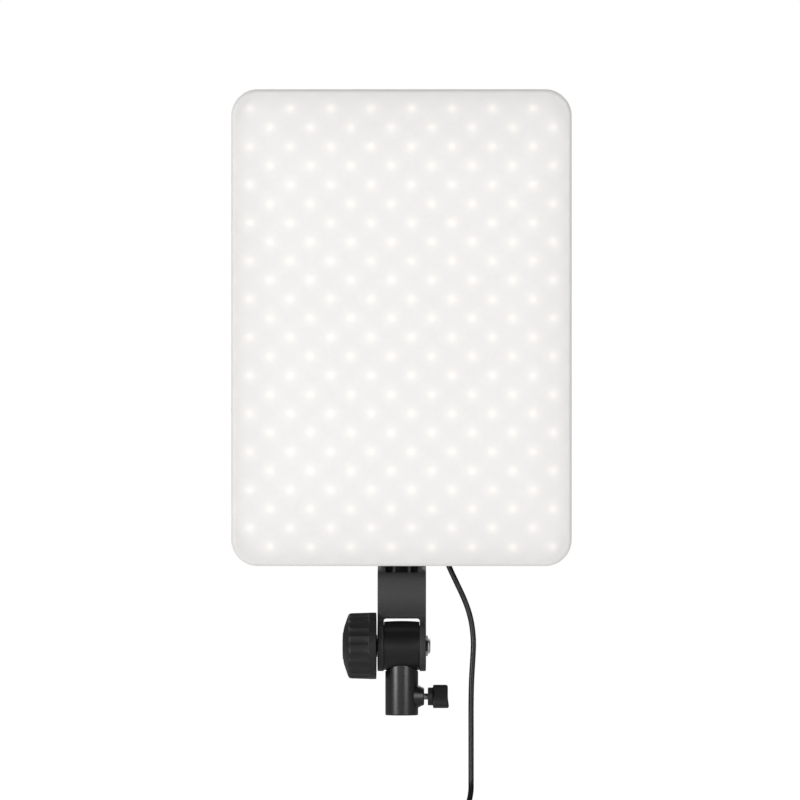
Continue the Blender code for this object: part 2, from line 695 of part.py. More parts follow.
def build_control_board(parent):
    board = rounded_block((98.0, 62.0), 2.0, 0.2, 14.2, 15.8, (0.0, 0.0), 2)
    piece("control_board", board, MATERIALS["board"], (0.0, 0.0, 227.0), parent=parent)
    route = [(-2.0, -2.3, 221.5), (-1.6, 0.5, 221.6), (0.0, 3.5, 222.0), (1.6, 6.5, 223.0),
             (3.6, 9.5, 226.0), (4.0, 13.6, 227.0)]
    curve = bpy.data.curves.new("led_lead", "CURVE")
    curve.dimensions = "3D"
    curve.bevel_depth = 1.4 * MM
    curve.bevel_resolution = 2
    curve.use_fill_caps = True
    add_poly(curve, smooth_path(route, 14))
    lead = bpy.data.objects.new("led_lead", curve)
    link_curve(lead, MATERIALS["wire"], parent)


def add_poly(curve, points):
    spline = curve.splines.new("POLY")
    spline.points.add(len(points) - 1)
    for slot, point in zip(spline.points, points):
        slot.co = (*(Vector(point) * MM), 1.0)


def link_curve(obj, material, parent=None):
    obj.data.materials.append(material)
    bpy.context.scene.collection.objects.link(obj)
    if parent:
        obj.parent = parent
        obj.location = -Vector(parent["place"])


def build_dial(side, name, black, steel, parent):
    x = side * DIAL_X
    pot = bmesh.new()
    add_block(pot, (-6.5, 16.2, -6.5), (6.5, BOX_BACK_Y - 2.0 - GAP, 6.5))
    base = piece(f"{name}_pot", pot, steel, (x, 0.0, CONTROL_Z), parent=parent)
    bush = bmesh.new()
    add_rod(bush, "Y", 22.0, BOX_BACK_Y + 1.6, 3.5, count=20)
    shape_with(base, bush, "UNION")
    bore = bmesh.new()
    add_rod(bore, "Y", 18.5, 30.0, 2.3, count=16)
    shape_with(base, bore, "DIFFERENCE")
    spin = pivot(f"{name}_spin", (x, BOX_BACK_Y, CONTROL_Z), parent)
    shaft = [(1.7, 18.9 - BOX_BACK_Y), (2.0, 19.3 - BOX_BACK_Y), (2.0, 9.2)]
    piece(f"{name}_shaft", turned(shaft, 16), steel, (x, BOX_BACK_Y, CONTROL_Z), TO_PLUS_Y, spin)
    count = 27
    rings = [circle(2.3, 9.6, count), circle(2.3, 2.1, count), circle(4.2, 2.1, count),
             circle(4.2, 0.4, count), circle(DIAL_R - 0.3, 0.4, count), circle(DIAL_R, 0.7, count),
             circle(DIAL_R, 2.2, count), fluted_ring(DIAL_R - 0.7, 2.6, 0.5, count),
             fluted_ring(DIAL_R - 1.3, 10.6, 0.5, count), circle(DIAL_R - 2.2, 11.6, count),
             circle(DIAL_R - 3.6, 11.6, count), circle(DIAL_R - 4.2, 11.2, count)]
    bm = bmesh.new()
    stack(bm, rings)
    dial = piece(f"{name}_dial", bm, black, (x, BOX_BACK_Y, CONTROL_Z), TO_PLUS_Y, spin)
    mark = bmesh.new()
    # a pointer groove across the rim, straight up at rest
    add_block(mark, (-0.6, -DIAL_R, 10.9), (0.6, -DIAL_R + 4.0, 13.0))
    shape_with(dial, mark, "DIFFERENCE")


def build_switch(black, parent):
    at = (0.0, 0.0, CONTROL_Z)
    body = rounded_block((16.4, 22.4), 1.2, 0.4, BOX_BACK_Y + GAP, BOX_BACK_Y + 2.1, steps=2)
    switch = piece("power_switch", body, black, at, parent=parent)
    neck = bmesh.new()
    add_block(neck, (-6.2, 16.2, -9.2), (6.2, BOX_BACK_Y + 1.0, 9.2))
    shape_with(switch, neck, "UNION")
    well = bmesh.new()
    add_block(well, (-4.9, 19.0, -8.0), (4.9, 32.0, 8.0))
    shape_with(switch, well, "DIFFERENCE")
    rock = pivot("power_rock", (0.0, ROCKER_Y, CONTROL_Z), parent)
    # the rocker's side view about its own axle: pushed in at the top, proud at the bottom
    half = 7.3
    tip = math.radians(7.0)
    outline = []
    for y, z in ((-2.2, -half + 1.6), (-2.2, half - 1.6), (2.6, half), (4.0, half - 0.3),
                 (3.2, 0.0), (4.0, -half + 0.3), (2.6, -half)):
        outline.append((y * math.cos(tip) - z * math.sin(tip), y * math.sin(tip) + z * math.cos(tip)))
    rocker = bmesh.new()
    stack(rocker, [facing_x(outline, -4.5), facing_x(outline, 4.5)])
    piece("power_rocker", rocker, MATERIALS["gloss"], (0.0, ROCKER_Y, CONTROL_Z), parent=rock)


def build_power_inlet(black, steel, parent):
    mouth_z = BOX_BOTTOM + 0.4
    body = bmesh.new()
    add_block(body, (JACK_X - 6.5, JACK_Y - 6.0, BOX_BOTTOM + 2.0 + GAP),
              (JACK_X + 6.5, JACK_Y + 6.0, 194.0))
    bmesh.ops.translate(body, verts=body.verts, vec=Vector((0.0, 0.0, -mouth_z)) * MM)
    jack = piece("dc_jack", body, black, (0.0, 0.0, mouth_z), parent=parent)
    collar = bmesh.new()
    add_rod(collar, "Z", 0.0, 3.0, 4.4, (JACK_X, JACK_Y), 24)
    shape_with(jack, collar, "UNION")
    ring = bmesh.new()
    pin = 0.9
    outer = 3.1
    corners = ((pin, -2.0), (outer, -2.0), (outer, 10.6), (pin, 10.6))
    stack(ring, [[(x + JACK_X, y + JACK_Y, z) for x, y, z in circle(radius, height, 20)]
                 for radius, height in corners], closed=True)
    shape_with(jack, ring, "DIFFERENCE")
    # plug: metal barrel inside the jack, moulded body and tapered relief below
    at = (JACK_X, JACK_Y, BOX_BOTTOM - GAP)
    barrel = [(1.3, -8.0), (2.75, -8.0), (2.75, 9.8), (1.3, 9.8)]
    piece("plug_barrel", turned(barrel, 20, closed=True), steel, at, parent=parent)
    grip = [(2.75 + GAP, -9.0), (2.75 + GAP, 0.0), (4.8, 0.0), (5.2, -0.5), (5.2, -16.0), (4.6, -18.5),
            (3.2, -20.0), (2.9, -29.0), (2.4, -41.6)]
    piece("dc_plug", turned(grip, 16), MATERIALS["cord"], at, parent=parent)


# ---- cord, coil and mains adapter ----
def lead_route():
    """The hanging stretch of the lead, from the plug's relief to the top of the coil."""
    return [(JACK_X, JACK_Y, 135.8), (29.3, 14.0, 129.5), (30.6, 13.8, 121.5), (34.6, 13.2, 109.7),
            (39.9, 12.4, 98.2), (45.2, 11.8, 86.9), (48.8, 11.4, 77.5), (51.3, 11.2, 67.7),
            (52.5, 11.1, 57.8), (52.7, 11.1, 50.0), (52.2, 11.2, 40.0), (51.4, 11.4, 26.0),
            (CORD_X, CORD_Y, 8.0), (CORD_X, CORD_Y, -16.0), (CORD_X, CORD_Y, -42.0),
            (CORD_X, CORD_Y, COIL_CENTRE[2] + COIL_MEAN_R + COIL_HALF + GAP)]


def build_lead(cord):
    curve = bpy.data.curves.new("power_lead", "CURVE")
    curve.dimensions = "3D"
    curve.bevel_depth = CORD_R * MM
    curve.bevel_resolution = 2
    curve.use_fill_caps = True
    add_poly(curve, smooth_path(lead_route(), 40))
    link_curve(bpy.data.objects.new("power_lead", curve), cord)


def build_tail(cord):
    coil_end = COIL_CENTRE[2] - COIL_MEAN_R - COIL_HALF - GAP
    bm = bmesh.new()
    add_rod(bm, "Z", coil_end - TAIL_L, coil_end, CORD_R, (CORD_X, CORD_Y), 12)
    piece("lead_tail", bm, cord)


def build_coil(cord, black):
    corner = 2.4
    inner, outer = COIL_MEAN_R - COIL_HALF, COIL_MEAN_R + COIL_HALF
    section = [(inner + corner, -COIL_HALF), (outer - corner, -COIL_HALF), (outer, -COIL_HALF + corner),
               (outer, COIL_HALF - corner), (outer - corner, COIL_HALF), (inner + corner, COIL_HALF),
               (inner, COIL_HALF - corner), (inner, -COIL_HALF + corner)]
    rings = [circle(radius, height, 28) for radius, height in section]
    bm = bmesh.new()
    stack(bm, rings, closed=True)
    piece("lead_coil", bm, cord, COIL_CENTRE, TO_PLUS_Y)
    # the tie is a strap round the coil's section, on its right-hand side
    inner_half = COIL_HALF + 0.9
    outer_half = inner_half + 0.8
    half_w = 4.0
    inside = rounded_rect(2 * inner_half, 2 * inner_half, 2.6, 3)
    outside = rounded_rect(2 * outer_half, 2 * outer_half, 3.2, 3)
    tie = bmesh.new()
    stack(tie, [facing_z(outside, -half_w), facing_z(outside, half_w),
                facing_z(inside, half_w), facing_z(inside, -half_w)], closed=True)
    at = (COIL_CENTRE[0] + COIL_MEAN_R, COIL_CENTRE[1], COIL_CENTRE[2])
    piece("coil_tie", tie, black, at)


def build_adapter(black, brass, board_green):
    tail_end = COIL_CENTRE[2] - COIL_MEAN_R - COIL_HALF - GAP - TAIL_L
    top = tail_end - GAP - RELIEF_L
    centre = (CORD_X, CORD_Y, top - ADAPTER_H / 2)
    wall = 2.0

    def shell(name, y_open, y_shut):
        out = math.copysign(1.0, y_shut - y_open)
        outline = (ADAPTER_W, ADAPTER_H)
        edge = 3.0

        def ring(inset, y):
            return facing_y(rounded_rect(outline[0] - 2 * inset, outline[1] - 2 * inset, 7.0 - inset, 4), y)

        rings = [ring(wall, y_shut - out * wall), ring(wall, y_open), ring(0.0, y_open)]
        for step in range(4):
            angle = step * math.pi / 6
            rings.append(ring(edge * (1 - math.cos(angle)), y_shut - out * edge * (1 - math.sin(angle))))
        bm = bmesh.new()
        stack(bm, rings)
        return piece(name, bm, black, centre)

    front = shell("adapter_front", -GAP / 2, -ADAPTER_D / 2)
    back = shell("adapter_back", GAP / 2, ADAPTER_D / 2)
    slot = bmesh.new()
    add_rod(slot, "Z", ADAPTER_H / 2 - 6, ADAPTER_H / 2 + 2, 3.4, count=20)
    shape_with(front, slot, "DIFFERENCE")
    hole = bmesh.new()
    add_rod(hole, "Z", ADAPTER_H / 2 - 6, ADAPTER_H / 2 + 2, 3.4, count=20)
    prong_z = -ADAPTER_H / 2 + 18.0
    add_block(hole, (-12.3, 5.0, prong_z - 7.3), (12.3, ADAPTER_D / 2 + 3, prong_z + 7.3))
    shape_with(back, hole, "DIFFERENCE")

    prongs = bmesh.new()
    add_block(prongs, (-12.0, ADAPTER_D / 2 - 2.6, prong_z - 7.0),
              (12.0, ADAPTER_D / 2 + 0.2, prong_z + 7.0))
    carrier = piece("prong_carrier", prongs, MATERIALS["board_black"], centre)
    slots = bmesh.new()
    blade_half = (0.75, 3.1)
    for x in (-6.35, 6.35):
        add_block(slots, (x - blade_half[0] - GAP, 5.0, prong_z - blade_half[1] - GAP),
                  (x + blade_half[0] + GAP, 25.0, prong_z + blade_half[1] + GAP))
    shape_with(carrier, slots, "DIFFERENCE")
    for x, name in ((-6.35, "prong_left"), (6.35, "prong_right")):
        blade = bmesh.new()
        rect = rounded_rect(2 * blade_half[0], 2 * blade_half[1], 0.3, 1)
        narrow = rounded_rect(blade_half[0], 2 * blade_half[1] - 2.0, 0.3, 1)
        stack(blade, [facing_y(rect, 9.0), facing_y(rect, ADAPTER_D / 2 + 15.0),
                      facing_y(narrow, ADAPTER_D / 2 + 17.0)])
        piece(name, blade, brass, (centre[0] + x, centre[1], centre[2] + prong_z))
    core = bmesh.new()
    add_block(core, (-19.0, -10.0, -28.0), (19.0, -8.4, 22.0))
    board = piece("adapter_board", core, board_green, centre)
    transformer = bmesh.new()
    add_block(transformer, (-10.0, -9.0, -12.0), (12.0, 8.0, 10.0))
    shape_with(board, transformer, "UNION")
    relief = [(3.0, -4.0), (3.0, 0.3), (4.4, 0.4), (4.4, 2.0), (3.4, 3.0), (2.5, RELIEF_L)]
    piece("adapter_relief", turned(relief, 16), MATERIALS["cord"], (CORD_X, CORD_Y, top))


def build_materials():
    return {
        "opal": make_material("opal_acrylic", (0.95, 0.95, 0.93), 0.35, glow=1.0),
        "film": make_material("diffusion_film", (0.92, 0.92, 0.90), 0.6),
        "charcoal": make_material("charcoal_plastic", (0.055, 0.055, 0.055), 0.55),
        "black": make_material("black_plastic", (0.022, 0.022, 0.023), 0.5),
        "rubber": make_material("soft_black_rubber", (0.024, 0.024, 0.026), 0.62),
        "satin": make_material("satin_black_metal", (0.035, 0.035, 0.037), 0.32, 0.7),
        "steel": make_material("plated_steel", (0.55, 0.55, 0.56), 0.25, 1.0),
        "brass": make_material("brass", (0.68, 0.52, 0.25), 0.3, 1.0),
        "fibre": make_material("friction_fibre", (0.04, 0.035, 0.03), 0.8),
        "white": make_material("white_board", (0.86, 0.86, 0.84), 0.45),
        "board": make_material("green_board", (0.03, 0.16, 0.07), 0.4),
        "board_black": make_material("prong_plastic", (0.02, 0.02, 0.02), 0.45),
        "gloss": make_material("gloss_black_plastic", (0.015, 0.015, 0.015), 0.18),
        "smoked": make_material("smoked_window", (0.02, 0.02, 0.025), 0.08),
        "dark_glass": make_material("display_glass", (0.03, 0.04, 0.04), 0.2),
        "wire": make_material("wire_insulation", (0.35, 0.03, 0.02), 0.5),
        "cord": make_material("cord_jacket", (0.02, 0.02, 0.021), 0.45),
    }


clear_scene()
MATERIALS = build_materials()
tilt = pivot("tilt_axis", TILT_CENTRE)
build_hub(MATERIALS["black"])
build_socket_tube(MATERIALS["satin"], MATERIALS["steel"])
build_clamp(MATERIALS["steel"], MATERIALS["brass"], MATERIALS["rubber"])
build_yoke(MATERIALS["charcoal"], MATERIALS["steel"], tilt)
build_bolt(MATERIALS["steel"], MATERIALS["rubber"], tilt)
build_knob(MATERIALS["rubber"], MATERIALS["brass"], tilt)
build_diffuser(MATERIALS["opal"], tilt)
build_led_board(MATERIALS["white"], MATERIALS["steel"], tilt)
build_rear_case(MATERIALS["black"], tilt)
build_control_box(MATERIALS["black"], MATERIALS["steel"], tilt)
build_display(tilt)
build_control_board(tilt)
build_dial(-1, "brightness", MATERIALS["rubber"], MATERIALS["steel"], tilt)
build_dial(1, "colour", MATERIALS["rubber"], MATERIALS["steel"], tilt)
build_switch(MATERIALS["black"], tilt)
build_power_inlet(MATERIALS["board_black"], MATERIALS["steel"], tilt)
build_lead(MATERIALS["cord"])
build_coil(MATERIALS["cord"], MATERIALS["rubber"])
build_tail(MATERIALS["cord"])
build_adapter(MATERIALS["black"], MATERIALS["brass"], MATERIALS["board"])
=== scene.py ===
"""Looks of the LED soft-light panel, its tilting yoke and its power lead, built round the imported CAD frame.

Sizes are millimetres in the CAD's own frame: X to the right as seen from the front, Y away from the
viewer, Z up, with the origin at the centre of the socket tube's lower rim.
"""
import math

import bmesh
import bpy
from mathutils import Matrix, Vector


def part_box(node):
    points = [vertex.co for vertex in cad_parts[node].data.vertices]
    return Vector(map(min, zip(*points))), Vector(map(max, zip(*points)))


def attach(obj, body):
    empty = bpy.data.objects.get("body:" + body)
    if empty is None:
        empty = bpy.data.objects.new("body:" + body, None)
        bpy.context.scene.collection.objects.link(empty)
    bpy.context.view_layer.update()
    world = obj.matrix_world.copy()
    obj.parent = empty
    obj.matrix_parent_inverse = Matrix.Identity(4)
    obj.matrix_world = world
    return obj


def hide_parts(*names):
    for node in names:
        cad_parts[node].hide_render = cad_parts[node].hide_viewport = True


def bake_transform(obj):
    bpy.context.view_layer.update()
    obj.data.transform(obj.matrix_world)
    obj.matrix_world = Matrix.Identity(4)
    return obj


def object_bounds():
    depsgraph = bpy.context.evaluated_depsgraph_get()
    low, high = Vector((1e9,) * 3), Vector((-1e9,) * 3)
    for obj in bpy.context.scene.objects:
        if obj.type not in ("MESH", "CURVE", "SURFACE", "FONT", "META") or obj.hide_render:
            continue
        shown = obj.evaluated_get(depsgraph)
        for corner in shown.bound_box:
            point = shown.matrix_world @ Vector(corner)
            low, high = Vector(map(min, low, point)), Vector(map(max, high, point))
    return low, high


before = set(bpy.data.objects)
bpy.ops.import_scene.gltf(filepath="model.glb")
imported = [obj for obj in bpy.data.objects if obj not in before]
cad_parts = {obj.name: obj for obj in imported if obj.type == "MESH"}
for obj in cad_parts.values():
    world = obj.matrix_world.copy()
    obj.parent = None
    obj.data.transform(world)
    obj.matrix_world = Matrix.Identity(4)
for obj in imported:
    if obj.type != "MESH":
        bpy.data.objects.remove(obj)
CAD_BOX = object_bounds()
MM = 0.001


def box_mm(node):
    low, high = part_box(node)
    return Vector(low) / MM, Vector(high) / MM


def centre_xz(node):
    low, high = box_mm(node)
    return (low.x + high.x) / 2, (low.z + high.z) / 2


# ---- places read from the frame ----
PANEL_LOW, PANEL_HIGH = box_mm("front_diffuser")
CASE_LOW, CASE_HIGH = box_mm("rear_case")
PANEL_CENTRE = ((PANEL_LOW.x + PANEL_HIGH.x) / 2, 0.0, (PANEL_LOW.z + PANEL_HIGH.z) / 2)
PANEL_W = PANEL_HIGH.x - PANEL_LOW.x
PANEL_H = PANEL_HIGH.z - PANEL_LOW.z
FRONT_Y = PANEL_LOW.y
SHOULDER_Y = PANEL_HIGH.y
BACK_Y = CASE_HIGH.y
HUB_LOW, HUB_HIGH = box_mm("tilt_hub")
AXIS_Z = (HUB_LOW.z + HUB_HIGH.z) / 2
HUB_R = (HUB_HIGH.z - HUB_LOW.z) / 2
HUB_HALF_W = HUB_HIGH.x
YOKE_LOW, YOKE_HIGH = box_mm("yoke_bracket")
YOKE_HALF_W = YOKE_HIGH.x
EAR_R = AXIS_Z - YOKE_LOW.z
TUBE_LOW, TUBE_HIGH = box_mm("socket_tube")
TUBE_R = -TUBE_LOW.x
BOSS_END_X = TUBE_HIGH.x
CLAMP_LOW, CLAMP_HIGH = box_mm("clamp_screw")
CLAMP_Z = (CLAMP_LOW.z + CLAMP_HIGH.z) / 2
CLAMP_R = (CLAMP_HIGH.z - CLAMP_LOW.z) / 2
WING_LOW, WING_HIGH = box_mm("wing_head")
KNOB_LOW, KNOB_HIGH = box_mm("tilt_knob")
KNOB_R = (KNOB_HIGH.z - KNOB_LOW.z) / 2
BOX_LOW, BOX_HIGH = box_mm("control_box")
DIAL_LOW, DIAL_HIGH = box_mm("colour_dial")
DIAL_X, CONTROL_Z = centre_xz("colour_dial")
DIAL_R = (DIAL_HIGH.x - DIAL_LOW.x) / 2
PLUG_LOW, PLUG_HIGH = box_mm("dc_plug")
JACK_X = (PLUG_LOW.x + PLUG_HIGH.x) / 2
JACK_Y = (PLUG_LOW.y + PLUG_HIGH.y) / 2
COIL_LOW, COIL_HIGH = box_mm("lead_coil")
COIL_CENTRE = (COIL_LOW + COIL_HIGH) / 2
RELIEF_LOW, RELIEF_HIGH = box_mm("adapter_relief")
ADAPTER_LOW, ADAPTER_HIGH = box_mm("adapter_front")
ADAPTER_BACK_HIGH = box_mm("adapter_back")[1]
CATCH_X = centre_xz("diffuser_catch_right")[0]

# directions for a piece's own +Z
PLUS_X = Matrix.Rotation(math.pi / 2, 4, "Y")
MINUS_X = Matrix.Rotation(-math.pi / 2, 4, "Y")
PLUS_Y = Matrix.Rotation(-math.pi / 2, 4, "X")


# ---- materials ----
class Nodes:
    """A small helper round one material's node tree."""

    def __init__(self, name):
        self.material = bpy.data.materials.new(name)
        self.material.use_nodes = True
        self.tree = self.material.node_tree
        self.shader = self.tree.nodes["Principled BSDF"]
        self.coords = self.add("ShaderNodeTexCoord").outputs["Object"]

    def add(self, kind, **settings):
        node = self.tree.nodes.new(kind)
        for key, value in settings.items():
            setattr(node, key, value)
        return node

    def join(self, source, target):
        self.tree.links.new(source, target)

    def feed(self, socket, value):
        if isinstance(value, bpy.types.NodeSocket):
            self.join(value, socket)
        else:
            socket.default_value = value

    def math(self, operation, a, b=0.0, c=0.0, clamp=False):
        node = self.add("ShaderNodeMath", operation=operation, use_clamp=clamp)
        for socket, value in zip(node.inputs, (a, b, c)):
            self.feed(socket, value)
        return node.outputs[0]

    def times(self, a, b):
        return self.math("MULTIPLY", a, b)

    def plus(self, a, b):
        return self.math("ADD", a, b)

    def split(self, vector):
        node = self.add("ShaderNodeSeparateXYZ")
        self.join(vector, node.inputs[0])
        return node.outputs

    def vector(self, operation, a, b=(0.0, 0.0, 0.0)):
        node = self.add("ShaderNodeVectorMath", operation=operation)
        self.feed(node.inputs[0], a)
        self.feed(node.inputs[1], b)
        return node.outputs["Value" if operation == "LENGTH" else "Vector"]

    def noise(self, size, detail=3.0, roughness=0.55, stretch=(1.0, 1.0, 1.0)):
        """Noise from 0 to 1 whose grains are about size millimetres."""
        scaled = self.vector("MULTIPLY", self.coords, stretch)
        node = self.add("ShaderNodeTexNoise")
        self.join(scaled, node.inputs["Vector"])
        node.inputs["Scale"].default_value = 1.0 / (size * MM)
        node.inputs["Detail"].default_value = detail
        node.inputs["Roughness"].default_value = roughness
        return node.outputs["Fac"]

    def span(self, value, low, high, to_low, to_high, smooth=False):
        node = self.add("ShaderNodeMapRange")
        node.interpolation_type = "SMOOTHSTEP" if smooth else "LINEAR"
        self.feed(node.inputs["Value"], value)
        node.inputs["From Min"].default_value = low
        node.inputs["From Max"].default_value = high
        self.feed(node.inputs["To Min"], to_low)
        self.feed(node.inputs["To Max"], to_high)
        return node.outputs["Result"]

    def ramp(self, value, low, high, to_high=1.0):
        """A soft rise from 0 at low to to_high at high."""
        return self.span(value, low, high, 0.0, to_high, smooth=True)

    def vary(self, noise, low, high):
        """Spread the usual range of a noise between two values."""
        return self.span(noise, 0.3, 0.7, low, high)

    def mix(self, factor, a, b):
        node = self.add("ShaderNodeMix", data_type="RGBA")
        colors = [socket for socket in node.inputs if socket.type == "RGBA"]
        self.feed(node.inputs["Factor"], factor)
        for socket, value in zip(colors, (a, b)):
            self.feed(socket, value if isinstance(value, bpy.types.NodeSocket) else (*value, 1.0))
        return [socket for socket in node.outputs if socket.type == "RGBA"][0]

    def bump(self, height, depth, under=None):
        """A bump whose full height is depth millimetres."""
        node = self.add("ShaderNodeBump")
        node.inputs["Strength"].default_value = 1.0
        node.inputs["Distance"].default_value = depth * MM
        self.join(height, node.inputs["Height"])
        if under:
            self.join(under, node.inputs["Normal"])
        return node.outputs["Normal"]

    def worn_edges(self, amount):
        """amount on sharp outer edges, 0 on flat ground."""
        pointiness = self.add("ShaderNodeNewGeometry").outputs["Pointiness"]
        return self.times(self.ramp(pointiness, 0.53, 0.62), amount)

    def set(self, socket, value):
        self.feed(self.shader.inputs[socket], value)

    def finish(self, color, roughness, normal):
        self.set("Base Color", color)
        self.set("Roughness", roughness)
        self.set("Normal", normal)
        return self.material


def surface(name, color, roughness, metallic=0.0, grain=0.35, grain_depth=0.012, mottle=0.12,
            edge=0.0, gloss_change=0.06, specular=0.5, stretch=(1.0, 1.0, 1.0)):
    """Moulded or coated surface: fine grain, a slow change of colour and gloss, and lighter edges."""
    n = Nodes(name)
    slow = n.noise(22.0, 4.0)
    fine = n.noise(grain, 2.0, 0.6, stretch)
    dark = tuple(c * (1 - mottle) for c in color)
    light = tuple(min(1.0, c * (1 + mottle)) for c in color)
    tint = n.mix(slow, dark, light)
    if edge:
        wear_and_painted_light = tuple(min(1.0, c * 1.6 + 0.012) for c in color)
        tint = n.mix(n.worn_edges(edge), tint, wear_and_painted_light)
    n.set("Base Color", tint)
    n.set("Metallic", metallic)
    n.set("Specular IOR Level", specular)
    patchy = n.plus(n.times(slow, 0.6), n.times(fine, 0.4))
    n.set("Roughness", n.vary(patchy, roughness - gloss_change, roughness + gloss_change))
    n.set("Normal", n.bump(fine, grain_depth))
    return n.material


LED_PITCH_X = 29.7
LED_PITCH_Z = 28.0             # two rows, because every second row is shifted
LED_FIRST_X = LED_PITCH_X / 4
LED_FIRST_Z = 7.0
# glow of the front: at its edge, what the near and far ramps add further in, and the spots
EMIT_EDGE = 0.335
EMIT_NEAR = 0.072
NEAR_REACH = 11.0
EMIT_FAR = 0.050
FAR_REACH = 40.0
SPOT_CORE = 0.14
SPOT_CORE_R = 1.9
SPOT_HALO = 0.05
SPOT_HALO_R = 5.2
EMIT_GROUND_COLOR = (1.0, 0.970, 0.945)
EMIT_SPOT_COLOR = (1.0, 0.92, 0.76)


def led_glow(n, x, z, at_x, at_z):
    """Square of the distance, in millimetres, to the nearest emitter of one lattice."""
    dx = n.math("WRAP", n.math("SUBTRACT", x, at_x), LED_PITCH_X / 2, -LED_PITCH_X / 2)
    dz = n.math("WRAP", n.math("SUBTRACT", z, at_z), LED_PITCH_Z / 2, -LED_PITCH_Z / 2)
    return n.plus(n.times(dx, dx), n.times(dz, dz))


def bell(n, square, width):
    return n.math("EXPONENT", n.math("DIVIDE", square, -2.0 * width * width))


def opal_material():
    """Opal acrylic lit from behind: soft warm spots over an even ground that falls off at the edges."""
    n = Nodes("opal_acrylic_lit")
    local = n.vector("SUBTRACT", n.coords, tuple(c * MM for c in PANEL_CENTRE))
    in_mm = n.split(n.vector("MULTIPLY", local, (1 / MM, 1 / MM, 1 / MM)))
    x = in_mm["X"]
    z = in_mm["Z"]
    nearest = n.math("MINIMUM", led_glow(n, x, z, LED_FIRST_X, -LED_FIRST_Z),
                     led_glow(n, x, z, -LED_FIRST_X, LED_FIRST_Z))
    # distance in from the rounded outline
    corner = 24.0
    slower = 0.6               # the fall-off is wider at the top and bottom than at the sides
    folded = n.vector("ABSOLUTE", n.vector("MULTIPLY", local, (1 / MM, 0.0, slower / MM)))
    reach = n.vector("SUBTRACT", folded, (PANEL_W / 2 - corner, 0.0, slower * PANEL_H / 2 - corner))
    over = n.vector("LENGTH", n.vector("MAXIMUM", reach, (0.0, -1.0, 0.0)))
    sides = n.split(reach)
    under = n.math("MINIMUM", n.math("MAXIMUM", sides["X"], sides["Z"]), 0.0)
    inward = n.math("SUBTRACT", corner, n.plus(over, under))
    near_edge = n.times(n.ramp(inward, 0.0, NEAR_REACH), EMIT_NEAR)
    far_edge = n.times(n.ramp(inward, 0.0, FAR_REACH), EMIT_FAR)
    ground = n.plus(EMIT_EDGE, n.plus(near_edge, far_edge))
    inside = n.ramp(inward, 0.5, 4.5)
    core = n.times(bell(n, nearest, SPOT_CORE_R), n.times(inside, SPOT_CORE))
    halo = n.times(bell(n, nearest, SPOT_HALO_R), n.times(inside, SPOT_HALO))
    spots = n.plus(core, halo)
    warmth = n.math("MULTIPLY", spots, 2.2, clamp=True)
    tint = n.mix(warmth, EMIT_GROUND_COLOR, EMIT_SPOT_COLOR)
    haze = n.vary(n.noise(60.0, 2.0), 0.992, 1.008)
    n.set("Base Color", n.mix(n.noise(35.0), (0.60, 0.60, 0.595), (0.63, 0.63, 0.625)))
    n.set("Roughness", n.vary(n.noise(4.0), 0.42, 0.48))
    n.set("Emission Color", tint)
    n.set("Emission Strength", n.times(n.plus(ground, spots), haze))
    n.set("Normal", n.bump(n.noise(0.25, 2.0), 0.004))
    return n.material


# where the painted light and shade on the yoke's web change, in metres: each band's start and its full effect
WEB_PAINTED_HIGHLIGHT_Z = (0.070, 0.090)
WEB_HIGHLIGHT_FADE_Z = (0.094, 0.106)
RIB_INNER_X = (0.0043, 0.0049)
RIB_OUTER_X = (0.0064, 0.0070)
SIDE_RIB_X = (0.0118, 0.0124)
RIBS_Z = (0.1050, 0.1066)
CORNER_X = (0.0142, 0.0160)
CORNER_Z = (0.1062, 0.1085)


def charcoal_material():
    """Grained charcoal plastic with painted light: a painted highlight over the bulge of the yoke's web,
    painted shade on the ears below it, and painted highlights on the ribs and cut corners at the top.
    """
    n = Nodes("charcoal_grained_plastic")
    parts = n.split(n.coords)
    height = parts["Z"]
    # painted highlight: paler from 70 to 90 mm up over the bulge of the web, easing off a little from 94 to
    # 106 mm where the panel shades it; below 70 mm the ears keep the darker tone as painted shade
    wear_and_painted_light = n.times(n.ramp(height, *WEB_PAINTED_HIGHLIGHT_Z), n.span(height, *WEB_HIGHLIGHT_FADE_Z, 1.0, 0.80, smooth=True))
    slow = n.noise(20.0, 4.0)
    mottled = n.noise(3.0, 4.0, 0.6)
    fine = n.noise(0.45, 2.0, 0.6)
    # the darker tone is painted shade, the paler one is the painted highlight
    shaded_tone = n.mix(slow, (0.026, 0.026, 0.027), (0.031, 0.031, 0.032))
    lit_tone = n.mix(mottled, (0.052, 0.052, 0.053), (0.064, 0.064, 0.065))
    tint = n.mix(wear_and_painted_light, shaded_tone, lit_tone)
    # painted highlights: the ribs between the pockets and the cut corners are painted paler, as if lit, and
    # the corners as if reflecting the light around them
    across = n.math("ABSOLUTE", parts["X"])
    rib = n.times(n.span(across, *RIB_INNER_X, 0.0, 1.0), n.span(across, *RIB_OUTER_X, 1.0, 0.0))
    side_rib = n.span(across, *SIDE_RIB_X, 0.0, 0.7)
    painted_rib_highlight = n.times(n.plus(rib, side_rib), n.span(height, *RIBS_Z, 0.0, 1.0))
    cut = n.times(n.span(across, *CORNER_X, 0.0, 1.0), n.span(height, *CORNER_Z, 0.0, 1.0))
    tint = n.mix(painted_rib_highlight, tint, (0.16, 0.16, 0.16))
    tint = n.mix(cut, tint, (0.42, 0.42, 0.41))
    color = n.mix(n.worn_edges(0.3), tint, (0.09, 0.09, 0.09))
    return n.finish(color, n.vary(mottled, 0.44, 0.56), n.bump(fine, 0.030, under=n.bump(mottled, 0.03)))


